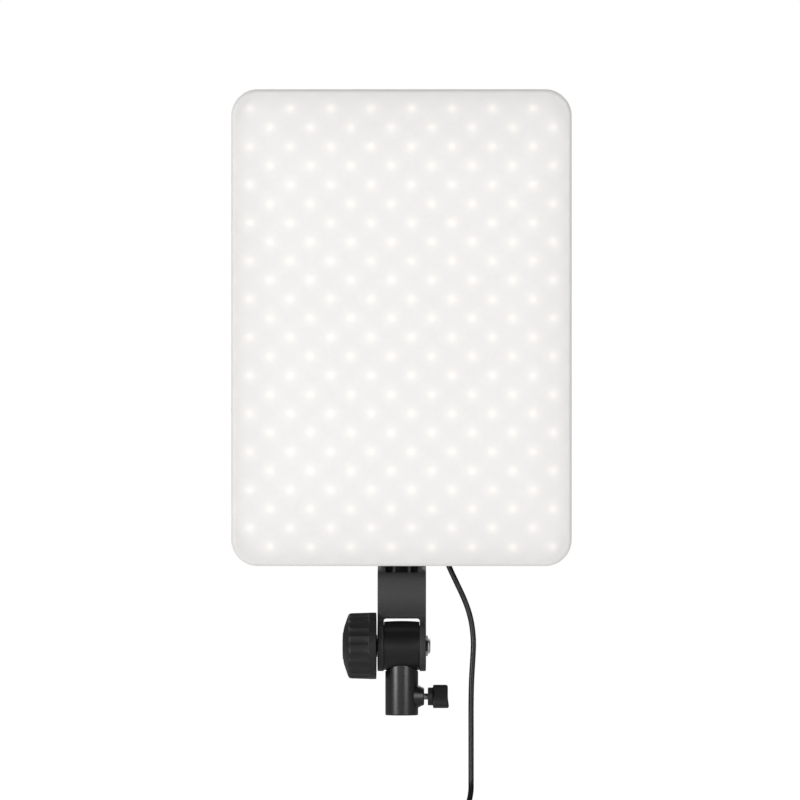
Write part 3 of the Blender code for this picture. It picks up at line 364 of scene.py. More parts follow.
def screw_material():
    """Zinc-plated steel with fine turning marks."""
    n = Nodes("plated_screw_steel")
    fine = n.noise(0.12, 2.0)
    slow = n.noise(3.0, 3.0)
    n.set("Metallic", 1.0)
    color = n.mix(slow, (0.66, 0.66, 0.67), (0.82, 0.82, 0.82))
    return n.finish(color, n.vary(slow, 0.38, 0.48), n.bump(fine, 0.003))


def display_material():
    n = Nodes("smoked_display_window")
    slow = n.noise(9.0)
    n.set("Coat Weight", 0.6)
    n.set("Coat Roughness", 0.04)
    color = n.mix(slow, (0.010, 0.011, 0.013), (0.014, 0.015, 0.017))
    return n.finish(color, n.vary(slow, 0.05, 0.09), n.bump(n.noise(6.0, 1.0), 0.003))


def board_material():
    """Green solder mask over a faint pattern of tracks."""
    n = Nodes("green_circuit_board")
    tracks = n.add("ShaderNodeTexVoronoi", feature="DISTANCE_TO_EDGE")
    n.join(n.coords, tracks.inputs["Vector"])
    tracks.inputs["Scale"].default_value = 1.0 / (4.0 * MM)
    line = n.span(tracks.outputs["Distance"], 0.03, 0.07, 1.0, 0.0)
    color = n.mix(line, (0.025, 0.13, 0.06), (0.05, 0.22, 0.10))
    return n.finish(color, n.span(line, 0.0, 1.0, 0.42, 0.34), n.bump(line, 0.03))


def white_board_material():
    n = Nodes("white_solder_mask")
    slow = n.noise(12.0)
    color = n.mix(slow, (0.80, 0.80, 0.77), (0.87, 0.87, 0.85))
    return n.finish(color, n.vary(slow, 0.38, 0.46), n.bump(n.noise(0.4), 0.004))


def cord_material():
    """Soft PVC jacket with a fine grain and a slow change of tone."""
    n = Nodes("soft_pvc_jacket")
    slow = n.noise(14.0, 3.0)
    fine = n.noise(0.5, 3.0, 0.6)
    color = n.mix(slow, (0.008, 0.008, 0.008), (0.012, 0.012, 0.012))
    return n.finish(color, n.vary(fine, 0.26, 0.34), n.bump(fine, 0.006))


def build_materials():
    return {
        "opal": opal_material(),
        "film": surface("diffusion_film", (0.90, 0.90, 0.88), 0.6, grain=0.2, mottle=0.02),
        "charcoal": charcoal_material(),
        "black": surface("black_moulded_plastic", (0.022, 0.022, 0.023), 0.46, grain=0.30,
                         grain_depth=0.016, edge=0.30),
        "hub": surface("black_hub_plastic", (0.009, 0.009, 0.010), 0.38, grain=0.30, grain_depth=0.010,
                       edge=0.25),
        "grained": surface("black_spark_grained_plastic", (0.021, 0.021, 0.022), 0.52, grain=0.55,
                           grain_depth=0.045, edge=0.30),
        "rubber": surface("soft_touch_black", (0.016, 0.016, 0.017), 0.48, grain=0.22, grain_depth=0.008,
                          mottle=0.08, edge=0.40),
        "satin": surface("satin_black_coating", (0.006, 0.006, 0.006), 0.33, grain=0.18,
                         grain_depth=0.004, mottle=0.10, edge=0.45, gloss_change=0.03, specular=0.8),
        "steel": screw_material(),
        "brass": surface("turned_brass", (0.62, 0.46, 0.20), 0.28, metallic=1.0, grain=0.2,
                         grain_depth=0.004),
        "fibre": surface("friction_fibre", (0.035, 0.030, 0.025), 0.8, grain=0.4, grain_depth=0.03),
        "gloss": surface("gloss_black_plastic", (0.012, 0.012, 0.012), 0.16, grain=2.0, grain_depth=0.004,
                         gloss_change=0.04, edge=0.3),
        "mark": surface("grey_pointer_paint", (0.55, 0.55, 0.54), 0.5, grain=0.2, grain_depth=0.004),
        "strap": surface("woven_strap", (0.020, 0.020, 0.020), 0.75, grain=0.45, grain_depth=0.12,
                         stretch=(1.0, 1.0, 0.35)),
        "wire": surface("wire_insulation", (0.33, 0.03, 0.02), 0.45, grain=0.5, grain_depth=0.004),
        "smoked": display_material(),
        "dark_glass": surface("display_glass", (0.02, 0.028, 0.028), 0.2, grain=2.0, grain_depth=0.002),
        "board": board_material(),
        "white": white_board_material(),
        "cord": cord_material(),
    }


# ---- shapes ----
def skin(*chains, closed=False):
    """A new mesh skinned over chains of rings, capped at both ends unless a chain closes on itself."""
    bm = bmesh.new()
    for rings in chains:
        loops = [[bm.verts.new(Vector(point) * MM) for point in ring] for ring in rings]
        pairs = list(zip(loops, loops[1:]))
        if closed:
            pairs.append((loops[-1], loops[0]))
        for lower, upper in pairs:
            for i in range(len(lower)):
                j = (i + 1) % len(lower)
                bm.faces.new((lower[i], lower[j], upper[j], upper[i]))
        if not closed:
            bm.faces.new(loops[0][::-1])
            bm.faces.new(loops[-1])
    return bm


def polar(radius, angle):
    return radius * math.cos(angle), radius * math.sin(angle)


def circle(radius, z, count=96):
    turn = 2 * math.pi / count
    return [(*polar(radius, turn * i), z) for i in range(count)]


def circles(profile, count=96):
    return [circle(radius, z, count) for radius, z in profile]


def hexagon(radius, z, count):
    """A hexagonal ring of count points; radius is to its corners."""
    ring = []
    for i in range(count):
        angle = 2 * math.pi * i / count
        away = angle % (math.pi / 3) - math.pi / 6
        r = radius * math.cos(math.pi / 6) / math.cos(away)
        ring.append((*polar(r, angle), z))
    return ring


def quarter(steps):
    """Inset and depth along a quarter round of radius 1, from its side to its face."""
    turns = [step / steps * math.pi / 2 for step in range(steps + 1)]
    return [(1 - math.cos(turn), 1 - math.sin(turn)) for turn in turns]


def soften(profile, radius, closed=False, steps=4):
    """Round the corners of a profile; the ends of an open one stay sharp."""
    points = [Vector(point) for point in profile]
    rounded = []
    for i, here in enumerate(points):
        if not closed and i in (0, len(points) - 1):
            rounded.append(tuple(here))
            continue
        before = points[i - 1] - here
        after = points[(i + 1) % len(points)] - here
        start = here + before.normalized() * min(radius, 0.45 * before.length)
        end = here + after.normalized() * min(radius, 0.45 * after.length)
        for step in range(steps + 1):
            t = step / steps
            rounded.append(tuple((1 - t) ** 2 * start + 2 * t * (1 - t) * here + t * t * end))
    return rounded


def turned(profile, radius=0.0, count=96, closed=False):
    """A new mesh turned about Z from (radius, height) points, its corners rounded."""
    if radius:
        profile = soften(profile, radius, closed)
    return skin(circles(profile, count), closed=closed)


def rounded_rect(width, height, radius, steps=12):
    points = []
    for corner in range(4):
        side_x = 1 if corner in (0, 3) else -1
        side_y = 1 if corner in (0, 1) else -1
        for step in range(steps + 1):
            turn = (corner + step / steps) * math.pi / 2
            points.append((side_x * (width / 2 - radius) + radius * math.cos(turn),
                           side_y * (height / 2 - radius) + radius * math.sin(turn)))
    return points


def facing_y(points, y, at=(0.0, 0.0)):
    return [(u + at[0], y, v + at[1]) for u, v in points]


def rod(axis, start, end, radius, at=(0.0, 0.0), count=64):
    """The two rings of a round bar along X, Y or Z; at is its place in the other two axes."""
    flat = [(u + at[0], v + at[1]) for u, v, _ in circle(radius, 0.0, count)]
    k = "XYZ".index(axis)
    return [[(*point[:k], along, *point[k:]) for point in flat] for along in (start, end)]


def slab(outline, y_low, y_high, at=(0.0, 0.0)):
    return [facing_y(outline, y, at) for y in (y_low, y_high)]


def soft_block(size, radius, edge, y_low, y_high, at=(0.0, 0.0)):
    """A block facing Y with round corners and quarter-round front and back edges."""
    width, height = size
    sides = [(edge * depth, y_low + edge * inset) for inset, depth in quarter(4)]
    sides += [(edge * depth, y_high - edge * inset) for inset, depth in reversed(quarter(4))]
    rings = []
    for inset, y in sides:
        outline = rounded_rect(width - 2 * inset, height - 2 * inset, max(radius - inset, 0.15), 8)
        rings.append(facing_y(outline, y, at))
    return skin(rings)


# ---- pieces ----
SHARP_ANGLE = math.radians(35.0)


def shade(mesh):
    mesh.shade_smooth()
    mesh.set_sharp_from_angle(angle=SHARP_ANGLE)


def to_mesh(bm, name):
    bmesh.ops.recalc_face_normals(bm, faces=bm.faces)
    mesh = bpy.data.meshes.new(name)
    bm.to_mesh(mesh)
    bm.free()
    shade(mesh)
    return mesh


def link(name, mesh):
    obj = bpy.data.objects.new(name, mesh)
    bpy.context.scene.collection.objects.link(obj)
    return obj


def settle(obj):
    """Apply every modifier and shade again by angle."""
    evaluated = obj.evaluated_get(bpy.context.evaluated_depsgraph_get())
    mesh = bpy.data.meshes.new_from_object(evaluated)
    obj.modifiers.clear()
    obj.data = mesh
    shade(mesh)


def shape_with(obj, bm, operation="DIFFERENCE"):
    """Cut or join a helper mesh, then remove the helper."""
    helper = link("helper", to_mesh(bm, "helper"))
    modifier = obj.modifiers.new("Shape", "BOOLEAN")
    modifier.operation = operation
    modifier.solver = "EXACT"
    modifier.object = helper
    settle(obj)
    bpy.data.objects.remove(helper, do_unlink=True)


def soften_edges(obj, width, angle=40.0):
    bevel = obj.modifiers.new("Soft edges", "BEVEL")
    bevel.width = width * MM
    bevel.segments = 2
    bevel.limit_method = "ANGLE"
    bevel.angle_limit = math.radians(angle)
    settle(obj)


def piece(name, bm, material, body, nodes, at=(0.0, 0.0, 0.0), turn=None):
    """One visible piece that stands for CAD nodes and rides on a body; at is in millimetres."""
    place = Matrix.Translation(Vector(at) * MM)
    if turn:
        place = place @ turn
    bm.transform(place)
    obj = link(name, to_mesh(bm, name))
    obj.data.materials.append(MATERIALS[material])
    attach(obj, body)
    if nodes:
        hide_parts(*nodes)
    return obj


# ---- stand side: hub, socket tube and thumbscrew ----
BOLT_BORE = 4.3
SCREW_BORE = 1.8


def build_hub():
    """A slightly crowned barrel across the yoke, with a hollow in each end for its friction disc."""
    half_w = HUB_HALF_W
    floor = HUB_HALF_W - 0.8
    seat = 14.3
    steps = 16
    bulge = 0.6
    crown = []
    for step in range(steps + 1):
        along = (-1 + 2 * step / steps) * half_w
        crown.append((HUB_R - bulge * (along / half_w) ** 2, along))
    profile = [(BOLT_BORE, -floor), (seat, -floor), (seat, -half_w)] + crown
    profile += [(seat, half_w), (seat, floor), (BOLT_BORE, floor)]
    piece("hub_barrel", turned(profile, 0.4, 160, closed=True), "hub", "stand_head",
          ["tilt_hub"], (0.0, 0.0, AXIS_Z), PLUS_X)


def build_tube():
    bore = 8.1
    depth = 29.0
    screw_bore = 2.8
    top = AXIS_Z - 7.0
    profile = [(bore + 0.5, 0.0), (TUBE_R, 0.0), (TUBE_R, top), (screw_bore, top), (screw_bore, depth),
               (bore, depth), (bore, 0.5)]
    tube = piece("socket_tube_coated", turned(profile, 0.8, 144, closed=True), "satin",
                 "stand_head", ["socket_tube"])
    # the boss is a blunt cone growing out of the tube, its root curved to stay inside the wall
    root_r = bore + 1.9

    def boss_ring(radius, x=None):
        return [(x or math.sqrt(root_r ** 2 - u ** 2), u, v + CLAMP_Z) for u, v, _ in circle(radius, 0.0, 72)]

    cone = soften([(6.8, 15.0), (6.4, BOSS_END_X), (0.0, BOSS_END_X)], 0.9, steps=5)[:-1]
    boss = [boss_ring(radius) for radius in (2.0, 5.0, 8.0, 9.4)] + [boss_ring(*place) for place in cone]
    shape_with(tube, skin(boss), "UNION")
    shape_with(tube, skin(rod("X", 7.0, 20.0, CLAMP_R + 0.3, (0.0, CLAMP_Z), 40),
                          rod("X", -20.0, 20.0, HUB_R + 0.3, (0.0, AXIS_Z), 160)))


def threaded(radius, depth, pitch, low, high, count=48):
    """A rod about Z with a helical ridge that fades in and out over its first and last turn."""
    rings = []
    per_turn = 8
    levels = round((high - low) / pitch * per_turn)
    for level in range(levels + 1):
        z = low + (high - low) * level / levels
        fade = min(1.0, level / per_turn, (levels - level) / per_turn)
        ring = []
        for i in range(count):
            phase = (z / pitch - i / count) % 1.0
            r = radius - depth * fade * abs(2 * phase - 1)
            angle = 2 * math.pi * i / count
            ring.append((*polar(r, angle), z))
        rings.append(ring)
    return skin(rings)


def build_thumbscrew():
    shank = threaded(CLAMP_R, 0.45, 0.8, 0.0, CLAMP_HIGH.x - CLAMP_LOW.x)
    piece("thumbscrew_thread", shank, "steel", "thumbscrew", ["clamp_screw"],
          (CLAMP_LOW.x, 0.0, CLAMP_Z), PLUS_X)
    # the wing leans, its lower end towards the viewer, and that end stands a little further out
    lean = math.radians(24)
    count = 96
    half_long = 8.6
    half_thick = 4.7
    length = WING_HIGH.x - WING_LOW.x

    def bar(shrink, x, lobe):
        ring = []
        for i in range(count):
            angle = 2 * math.pi * i / count
            cos = math.cos(angle)
            sin = math.sin(angle)
            u = (half_long - shrink) * math.copysign(abs(cos) ** 0.72, cos)
            v = (half_thick - shrink * 0.9) * math.copysign(abs(sin) ** 0.55, sin)
            ring.append((u * math.cos(lean) + v * math.sin(lean), v * math.cos(lean) - u * math.sin(lean),
                         x + lobe * max(0.0, u / half_long) ** 2))
        return ring

    bore = CLAMP_R + 0.3
    collar = 6.6
    bar_start = 3.9
    bar_end = length - 1.1
    rings = circles([(bore, 11.5), (bore, 0.25), (bore + 0.25, 0.0)], count)
    rings += circles(soften([(bore + 1, 0.0), (collar, 0.0), (collar, 3.0)], 0.5), count)
    rings += [circle(collar, bar_start - 0.45, count), bar(1.6, bar_start - 0.2, 0.0),
              bar(0.5, bar_start, 0.0), bar(0.15, bar_start + 0.2, 0.0), bar(0.0, bar_start + 0.6, 0.0)]
    for step in range(5):
        share = step / 4
        rings.append(bar(0.0, bar_start + 1.0 + share * (bar_end - 2.8 - bar_start), 1.0 * share))
    for step in range(1, 7):
        turn = step / 6 * math.pi / 2
        rings.append(bar(1.3 * (1 - math.cos(turn)), bar_end - 1.6 + 1.6 * math.sin(turn), 1.0))
    rings += [bar(2.2, bar_end - 0.1, 0.9), bar(3.2, bar_end - 0.35, 0.7), bar(4.4, bar_end - 0.45, 0.5)]
    piece("wing_head_moulded", skin(rings), "rubber", "thumbscrew", ["wing_head"],
          (WING_LOW.x, 0.0, CLAMP_Z), PLUS_X)


# ---- yoke, bolt and lock knob ----
FLANGE_FRONT_Y = BACK_Y + 0.3
FLANGE_BACK_Y = FLANGE_FRONT_Y + 10.0
FLANGE_TOP = YOKE_HIGH.z
BRACKET_SCREWS = [(x, z) for z in (122.0, 155.0) for x in (-14.9, 14.9)]


def smooth_curve(points, per_span=6):
    """Catmull-Rom through the points, which may be 2-D or 3-D."""
    route = [Vector(point) for point in points]
    route = [2 * route[0] - route[1]] + route + [2 * route[-1] - route[-2]]
    curve = []
    spans = len(points) - 1
    for step in range(spans * per_span + 1):
        span = min(step // per_span, spans - 1)
        t = step / per_span - span
        a, b, c, d = route[span:span + 4]
        curve.append(0.5 * (2 * b + (c - a) * t + (2 * a - 5 * b + 4 * c - d) * t ** 2
                            + (3 * b - a - 3 * c + d) * t ** 3))
    return curve


def inset_loop(points, distance):
    """Move a closed anticlockwise outline inwards by distance."""
    moved = []
    for i, here in enumerate(points):
        here = Vector(here)
        first = (here - Vector(points[i - 1])).normalized()
        second = (Vector(points[(i + 1) % len(points)]) - here).normalized()
        normal = Vector((-(first.y + second.y), first.x + second.x)).normalized()
        stretch = max(0.5, normal.dot(Vector((-first.y, first.x))))
        moved.append(tuple(here + normal * (distance / stretch)))
    return moved


def yoke_outline():
    """Side view as (y, z), anticlockwise: ears round the tilt axis, a bulged web and the flange."""
    ear = []
    for step in range(49):
        angle = math.radians(40 - step * 6)
        ear.append((EAR_R * math.cos(angle), AXIS_Z + EAR_R * math.sin(angle)))
    front = [(-4.4, 70.2), (-3.3, 72.6), (-3.7, 77.0), (-4.5, 83.0), (-4.7, 89.0), (-4.1, 95.0),
             (-2.5, 100.5), (0.4, 105.8), (FLANGE_FRONT_Y, 111.0)]
    back = [(FLANGE_BACK_Y, 112.0), (13.7, 104.0), (12.9, 94.0), (12.4, 84.0), (12.7, 74.0), (13.6, 67.5)]
    top = [(FLANGE_FRONT_Y, FLANGE_TOP - 1.0), (FLANGE_FRONT_Y + 1.0, FLANGE_TOP),
           (FLANGE_BACK_Y - 3.0, FLANGE_TOP), (FLANGE_BACK_Y - 1.2, FLANGE_TOP - 0.6),
           (FLANGE_BACK_Y - 0.3, FLANGE_TOP - 1.6), (FLANGE_BACK_Y, FLANGE_TOP - 3.0)]
    clockwise = ear + [tuple(p) for p in smooth_curve(front, 4)] + top
    clockwise += [tuple(p) for p in smooth_curve(back, 4)]
    return clockwise[::-1]


def build_yoke():
    outline = yoke_outline()
    radius = 0.9
    sides = [(radius * depth, radius * inset - YOKE_HALF_W) for inset, depth in quarter(4)]
    sides += [(inset, -x) for inset, x in reversed(sides)]
    rings = []
    for inset, x in sides:
        loop = inset_loop(outline, inset) if inset > 0.001 else outline
        rings.append([(x, u, v) for u, v in loop])
    yoke = piece("yoke_moulding", skin(rings), "charcoal", "light_panel", ["yoke_bracket"])

    inside = YOKE_HALF_W - 4.5
    window_top = 71.1
    window_h = 60.0
    window = rounded_rect(2 * inside, window_h, 2.0, 8)
    cuts = [slab(window, -30.0, 30.0, (0.0, window_top - window_h / 2))]
    pocket_low = 105.0
    pocket_high = FLANGE_TOP - 6.0
    for x_low, x_high in ((-12.1, -6.6), (-4.7, 4.6), (6.6, 11.7)):
        pocket = rounded_rect(x_high - x_low, pocket_high - pocket_low, 0.7, 4)
        middle = ((x_low + x_high) / 2, (pocket_low + pocket_high) / 2)
        cuts.append(slab(pocket, -12.0, FLANGE_BACK_Y - 2.0, middle))
    cuts += [rod("Y", -10.0, 30.0, SCREW_BORE, place, 32) for place in BRACKET_SCREWS]
    shape_with(yoke, skin(*cuts))
    corners = bmesh.new()
    for side in (-1, 1):
        # a slanting facet at each top corner of the web
        out = Vector((side * 0.43, -0.36, 0.83)).normalized()
        reach = 9.0
        place = Matrix.Translation((Vector((side * 16.3, 4.9, 108.6)) + out * reach / 2) * MM)
        turn = out.to_track_quat("Z", "Y").to_matrix().to_4x4()
        bmesh.ops.create_cube(corners, size=reach * MM, matrix=place @ turn)
    shape_with(yoke, corners)
    soften_edges(yoke, 0.35)
    # a low round pad inside each ear, from the ear's lower edge to just under the hub's top
    pad_top = 15.0
    pad_r = (pad_top + EAR_R - 0.6) / 2
    pads = []
    for side in (-1, 1):
        low, high = sorted((side * (inside - 0.2), side * (inside + 1.0)))
        pads.append(rod("X", low, high, pad_r, (0.0, AXIS_Z + pad_top - pad_r), 120))
    shape_with(yoke, skin(*pads), "UNION")
    shape_with(yoke, skin(rod("X", -30.0, 30.0, BOLT_BORE, (0.0, AXIS_Z))))


def build_bolt():
    """Button-head bolt with a hexagon socket, and the washer under its head."""
    low, high = box_mm("tilt_bolt")
    head_x = 19.4
    length = head_x - low.x
    head_r = 5.9
    profile = [(2.8, 0.0), (4.0, 1.0), (4.0, length), (head_r, length), (head_r, length + 0.35)]
    for step in range(1, 7):
        turn = step / 6 * math.radians(58)
        profile.append((head_r - 2.8 * (1 - math.cos(turn)) - 0.3 * step / 6,
                        length + 0.35 + 1.55 * math.sin(turn)))
    face = profile[-1][1] + 0.05
    rings = circles(profile) + [hexagon(2.6, z, 96) for z in (face, face - 1.0)]
    piece("tilt_bolt_button_head", skin(rings), "steel", "light_panel", ["tilt_bolt"],
          (low.x, 0.0, AXIS_Z), PLUS_X)
    low, high = box_mm("bolt_washer")
    ring = [(BOLT_BORE, 0.0), (7.6, 0.0), (7.6, high.x - low.x), (BOLT_BORE, high.x - low.x)]
    piece("bolt_washer_turned", turned(ring, 0.3, 96, closed=True), "rubber", "light_panel",
          ["bolt_washer"], (low.x, 0.0, AXIS_Z), PLUS_X)


FLUTE_PHASE = math.radians(3.0)


def scallop_ring(radius, z, depth, flutes, per_flute=10):
    """Shallow hollows with soft ridges between them."""
    points = []
    count = flutes * per_flute
    for i in range(count):
        share = (i % per_flute) / per_flute
        hollow = math.sin(math.pi * share) ** 0.8
        r = radius - depth * hollow
        angle = 2 * math.pi * i / count + FLUTE_PHASE
        points.append((*polar(r, angle), z))
    return points


def build_knob():
    seat_x = box_mm("knob_washer")[1].x
    ring = [(BOLT_BORE, 0.0), (8.2, 0.0), (8.2, 1.1), (BOLT_BORE, 1.1)]
    piece("knob_washer_turned", turned(ring, 0.25, 96, closed=True), "rubber", "knob_spacer",
          ["knob_washer"], (seat_x, 0.0, AXIS_Z), MINUS_X)
    flutes = 24
    count = flutes * 10
    bore = 6.3
    bore_end = 15.3
    flange = soften([(8.6, 0.0), (KNOB_R, 0.0), (KNOB_R, 5.0)], 0.45)
    rings = circles([(bore, bore_end), (bore, 1.1), (8.6, 1.1)] + flange, count)
    # each ring of the grip: inset from the knob's radius, height and depth of its hollows
    grip = ((0.03, 5.15, 0.18), (0.06, 5.35, 0.5), (0.08, 5.7, 0.62), (0.25, 11.0, 0.75), (0.45, 18.0, 0.80),
            (0.55, 18.8, 0.78), (0.75, 19.5, 0.70), (1.15, 20.1, 0.60), (1.8, 20.6, 0.45), (3.3, 21.2, 0.10))
    rings += [scallop_ring(KNOB_R - inset, z, depth, flutes) for inset, z, depth in grip]
    crown = [(KNOB_R - 4.2, 21.55), (13.8, 23.7), (11.0, 24.3), (10.2, 24.3), (10.2, 23.5)]
    rings += circles(soften(crown, 0.5), count)
    piece("lock_knob_grip", skin(rings), "rubber", "lock_knob", ["tilt_knob"],
          (KNOB_HIGH.x, 0.0, AXIS_Z), MINUS_X)
    cap = soften([(9.9, 23.8), (9.9, 24.7), (5.0, 24.9), (0.4, 24.9)], 0.5)
    piece("lock_knob_cap", turned(cap), "gloss", "lock_knob",
          ["knob_cap"], (KNOB_HIGH.x, 0.0, AXIS_Z), MINUS_X)


# ---- panel ----
def panel_ring(inset, y):
    radius = 19.5
    return facing_y(rounded_rect(PANEL_W - 2 * inset, PANEL_H - 2 * inset, radius - inset, 16), y)


def build_diffuser():
    wall = 1.8
    edge = 3.2
    inside_y = FRONT_Y + wall
    rings = [panel_ring(wall + 1.0, inside_y), panel_ring(wall, inside_y + 1.2), panel_ring(wall, SHOULDER_Y),
             panel_ring(0.25, SHOULDER_Y), panel_ring(0.0, SHOULDER_Y - 0.25)]
    rings += [panel_ring(edge * inset, FRONT_Y + edge * depth) for inset, depth in quarter(10)]
    front = piece("opal_front", skin(rings), "opal", "light_panel", ["front_diffuser"], PANEL_CENTRE)
    top = PANEL_HIGH.z
    slots = []
    for x in (-CATCH_X, CATCH_X):
        outline = [(x - 3.0, top - 4.0), (x + 3.0, top - 4.0), (x + 3.0, top + 2.0), (x - 3.0, top + 2.0)]
        slots.append(slab(outline, SHOULDER_Y - 5.5, SHOULDER_Y - 2.5))
    shape_with(front, skin(*slots))


def build_rear_case():
    """The black tray behind the panel: soft outer edge, vents and a raised lip that the front snaps on."""
    wall = 2.0
    inset = 0.3
    edge = 3.5
    floor_y = BACK_Y - wall
    inner = inset + wall
    rings = [panel_ring(inner + 1.2, floor_y), panel_ring(inner, floor_y - 1.4),
             panel_ring(inner, SHOULDER_Y + 2.2), panel_ring(4.0, SHOULDER_Y + 0.6),
             panel_ring(4.0, CASE_LOW.y), panel_ring(2.2, CASE_LOW.y), panel_ring(2.2, SHOULDER_Y + 0.3),
             panel_ring(inset + 0.25, SHOULDER_Y + 0.3), panel_ring(inset, SHOULDER_Y + 0.55)]
    rings += [panel_ring(inset + edge * more, BACK_Y - edge * depth) for more, depth in quarter(8)]
    case = piece("rear_case_shell", skin(rings), "grained", "light_panel", ["rear_case"],
                 PANEL_CENTRE)
    cuts = [rod("Y", 0.0, BACK_Y + 1, SCREW_BORE, centre_xz(f"{group}_screw_{number}"), 32)
            for group in ("case", "bracket") for number in range(1, 5)]
    vents = 7
    vent_top = 350.0
    pitch = 9.0
    vent = rounded_rect(60.0, 3.0, 1.45, 8)
    for side in (-1, 1):
        cuts += [slab(vent, 0.0, BACK_Y + 1, (side * 55.0, vent_top - slot * pitch)) for slot in range(vents)]
    shape_with(case, skin(*cuts))
    soften_edges(case, 0.3, 50.0)


# ---- controls on the back ----
def build_control_box():
    wall = 2.0
    edge = 3.0
    corner = 9.0
    width = BOX_HIGH.x - BOX_LOW.x
    height = BOX_HIGH.z - BOX_LOW.z
    centre_z = centre_xz("control_box")[1]

    def ring(inset, y):
        outline = rounded_rect(width - 2 * inset, height - 2 * inset, corner - inset, 12)
        return facing_y(outline, y, (0.0, centre_z))

    rings = [ring(wall, BOX_HIGH.y - wall), ring(wall, BOX_LOW.y), ring(0.2, BOX_LOW.y),
             ring(0.0, BOX_LOW.y + 0.2)]
    rings += [ring(edge * inset, BOX_HIGH.y - edge * depth) for inset, depth in quarter(8)]
    box = piece("control_box_cover", skin(rings), "black", "light_panel", ["control_box"])
    sunk = BOX_HIGH.y - 2.4
    steps = ((SCREW_BORE, 20.0), (SCREW_BORE, sunk), (3.2, sunk), (3.2, 30.0))
    cuts = []
    for x in (-54.0, 54.0):
        for z in (186.0, 254.0):
            cuts.append([[(u + x, y, v + z) for u, v, _ in circle(radius, 0.0, 40)] for radius, y in steps])
    shaft_bore = 3.9
    cuts += [rod("Y", 15.0, 30.0, shaft_bore, (x, CONTROL_Z), 48) for x in (-DIAL_X, DIAL_X)]
    cuts.append(slab(rounded_rect(13.2, 19.2, 0.8, 3), 15.0, 30.0, (0.0, CONTROL_Z)))
    low, high = box_mm("display_window")
    middle = (0.0, centre_xz("display_window")[1])
    opening = rounded_rect(40.0, 18.0, 1.0, 6)
    recess = rounded_rect(46.6, 24.6, 1.0, 6)
    ledge = BOX_HIGH.y - 1.4
    cuts.append(slab(opening, 15.0, ledge, middle) + slab(recess, ledge, 30.0, middle))
    cuts.append(rod("Z", BOX_LOW.z - 2, BOX_LOW.z + 3, 4.8, (JACK_X, JACK_Y), 48))
    shape_with(box, skin(*cuts))
    soften_edges(box, 0.25, 50.0)
    window = soft_block((high.x - low.x, high.z - low.z), 0.8, 0.3, low.y, high.y)
    piece("display_window_pane", window, "smoked", "light_panel", ["display_window"],
          (0.0, 0.0, middle[1]))


def build_dials():
    for side, name in ((-1, "brightness"), (1, "colour")):
        at = (side * DIAL_X, BOX_HIGH.y, CONTROL_Z)
        flutes = 30
        count = flutes * 8
        flange = soften([(5.0, 0.4), (DIAL_R, 0.4), (DIAL_R, 2.2)], 0.4)
        rings = circles([(2.3, 9.6), (2.3, 2.1), (4.2, 2.1), (4.2, 0.4)] + flange, count)
        # each ring of the grip: inset from the dial's radius, height and depth of its hollows
        grip = ((0.25, 2.45, 0.0), (0.6, 2.6, 0.15), (0.75, 3.0, 0.42), (1.05, 7.0, 0.45), (1.3, 10.2, 0.42),
                (1.5, 10.8, 0.30), (1.8, 11.25, 0.12), (2.2, 11.5, 0.0), (2.7, 11.6, 0.0))
        rings += [scallop_ring(DIAL_R - inset, z, depth, flutes, 8) for inset, z, depth in grip]
        dish = [(DIAL_R - 3.5, 11.6), (DIAL_R - 3.8, 11.5), (DIAL_R - 4.2, 11.2), (1.0, 11.15)]
        rings += circles(dish, count)
        dial = piece(f"{name}_dial_grip", skin(rings), "rubber", f"{name}_control",
                     [f"{name}_dial"], at, PLUS_Y)
        reach = DIAL_R - 4.0
        groove = rounded_rect(1.2, DIAL_R - reach, 0.3, 3)
        shape_with(dial, skin(slab(groove, BOX_HIGH.y + 10.9, BOX_HIGH.y + 14.0,
                                   (at[0], CONTROL_Z + (DIAL_R + reach) / 2))))
        inlay = slab(rounded_rect(0.9, 2.2, 0.25, 3), BOX_HIGH.y + 10.7, BOX_HIGH.y + 11.1,
                     (at[0], CONTROL_Z + reach + 1.35))
        piece(f"{name}_dial_pointer", skin(inlay), "mark", f"{name}_control", [])


def build_switch():
    low, high = box_mm("power_switch")
    width = high.x - low.x
    height = high.z - low.z
    bezel = soft_block((width, height), 1.2, 0.5, BOX_HIGH.y + 0.3, high.y, (0.0, CONTROL_Z))
    switch = piece("switch_bezel", bezel, "black", "light_panel", ["power_switch"])
    neck = slab(rounded_rect(12.4, 18.4, 0.5, 4), low.y, BOX_HIGH.y + 1.0, (0.0, CONTROL_Z))
    shape_with(switch, skin(neck), "UNION")
    shape_with(switch, skin(slab(rounded_rect(9.8, 16.0, 0.4, 4), 19.0, 32.0, (0.0, CONTROL_Z))))
    axle_y = 24.6
    half = 7.3
    tip = math.radians(7.0)
    side = [(-2.2, -half + 1.6), (2.6, -half), (4.0, -half + 0.3), (3.2, 0.0), (4.0, half - 0.3), (2.6, half),
            (-2.2, half - 1.6)]
    outline = []
    for y, z in soften([Vector(p) for p in side], 0.7, closed=True):
        outline.append((y * math.cos(tip) - z * math.sin(tip) + axle_y,
                        y * math.sin(tip) + z * math.cos(tip) + CONTROL_Z))
    rings = [[(x, u, v) for u, v in (inset_loop(outline, inset) if inset else outline)]
             for x, inset in ((-4.5, 0.3), (-4.2, 0.0), (4.2, 0.0), (4.5, 0.3))]
    piece("rocker_key", skin(rings), "gloss", "rocker", ["power_rocker"])


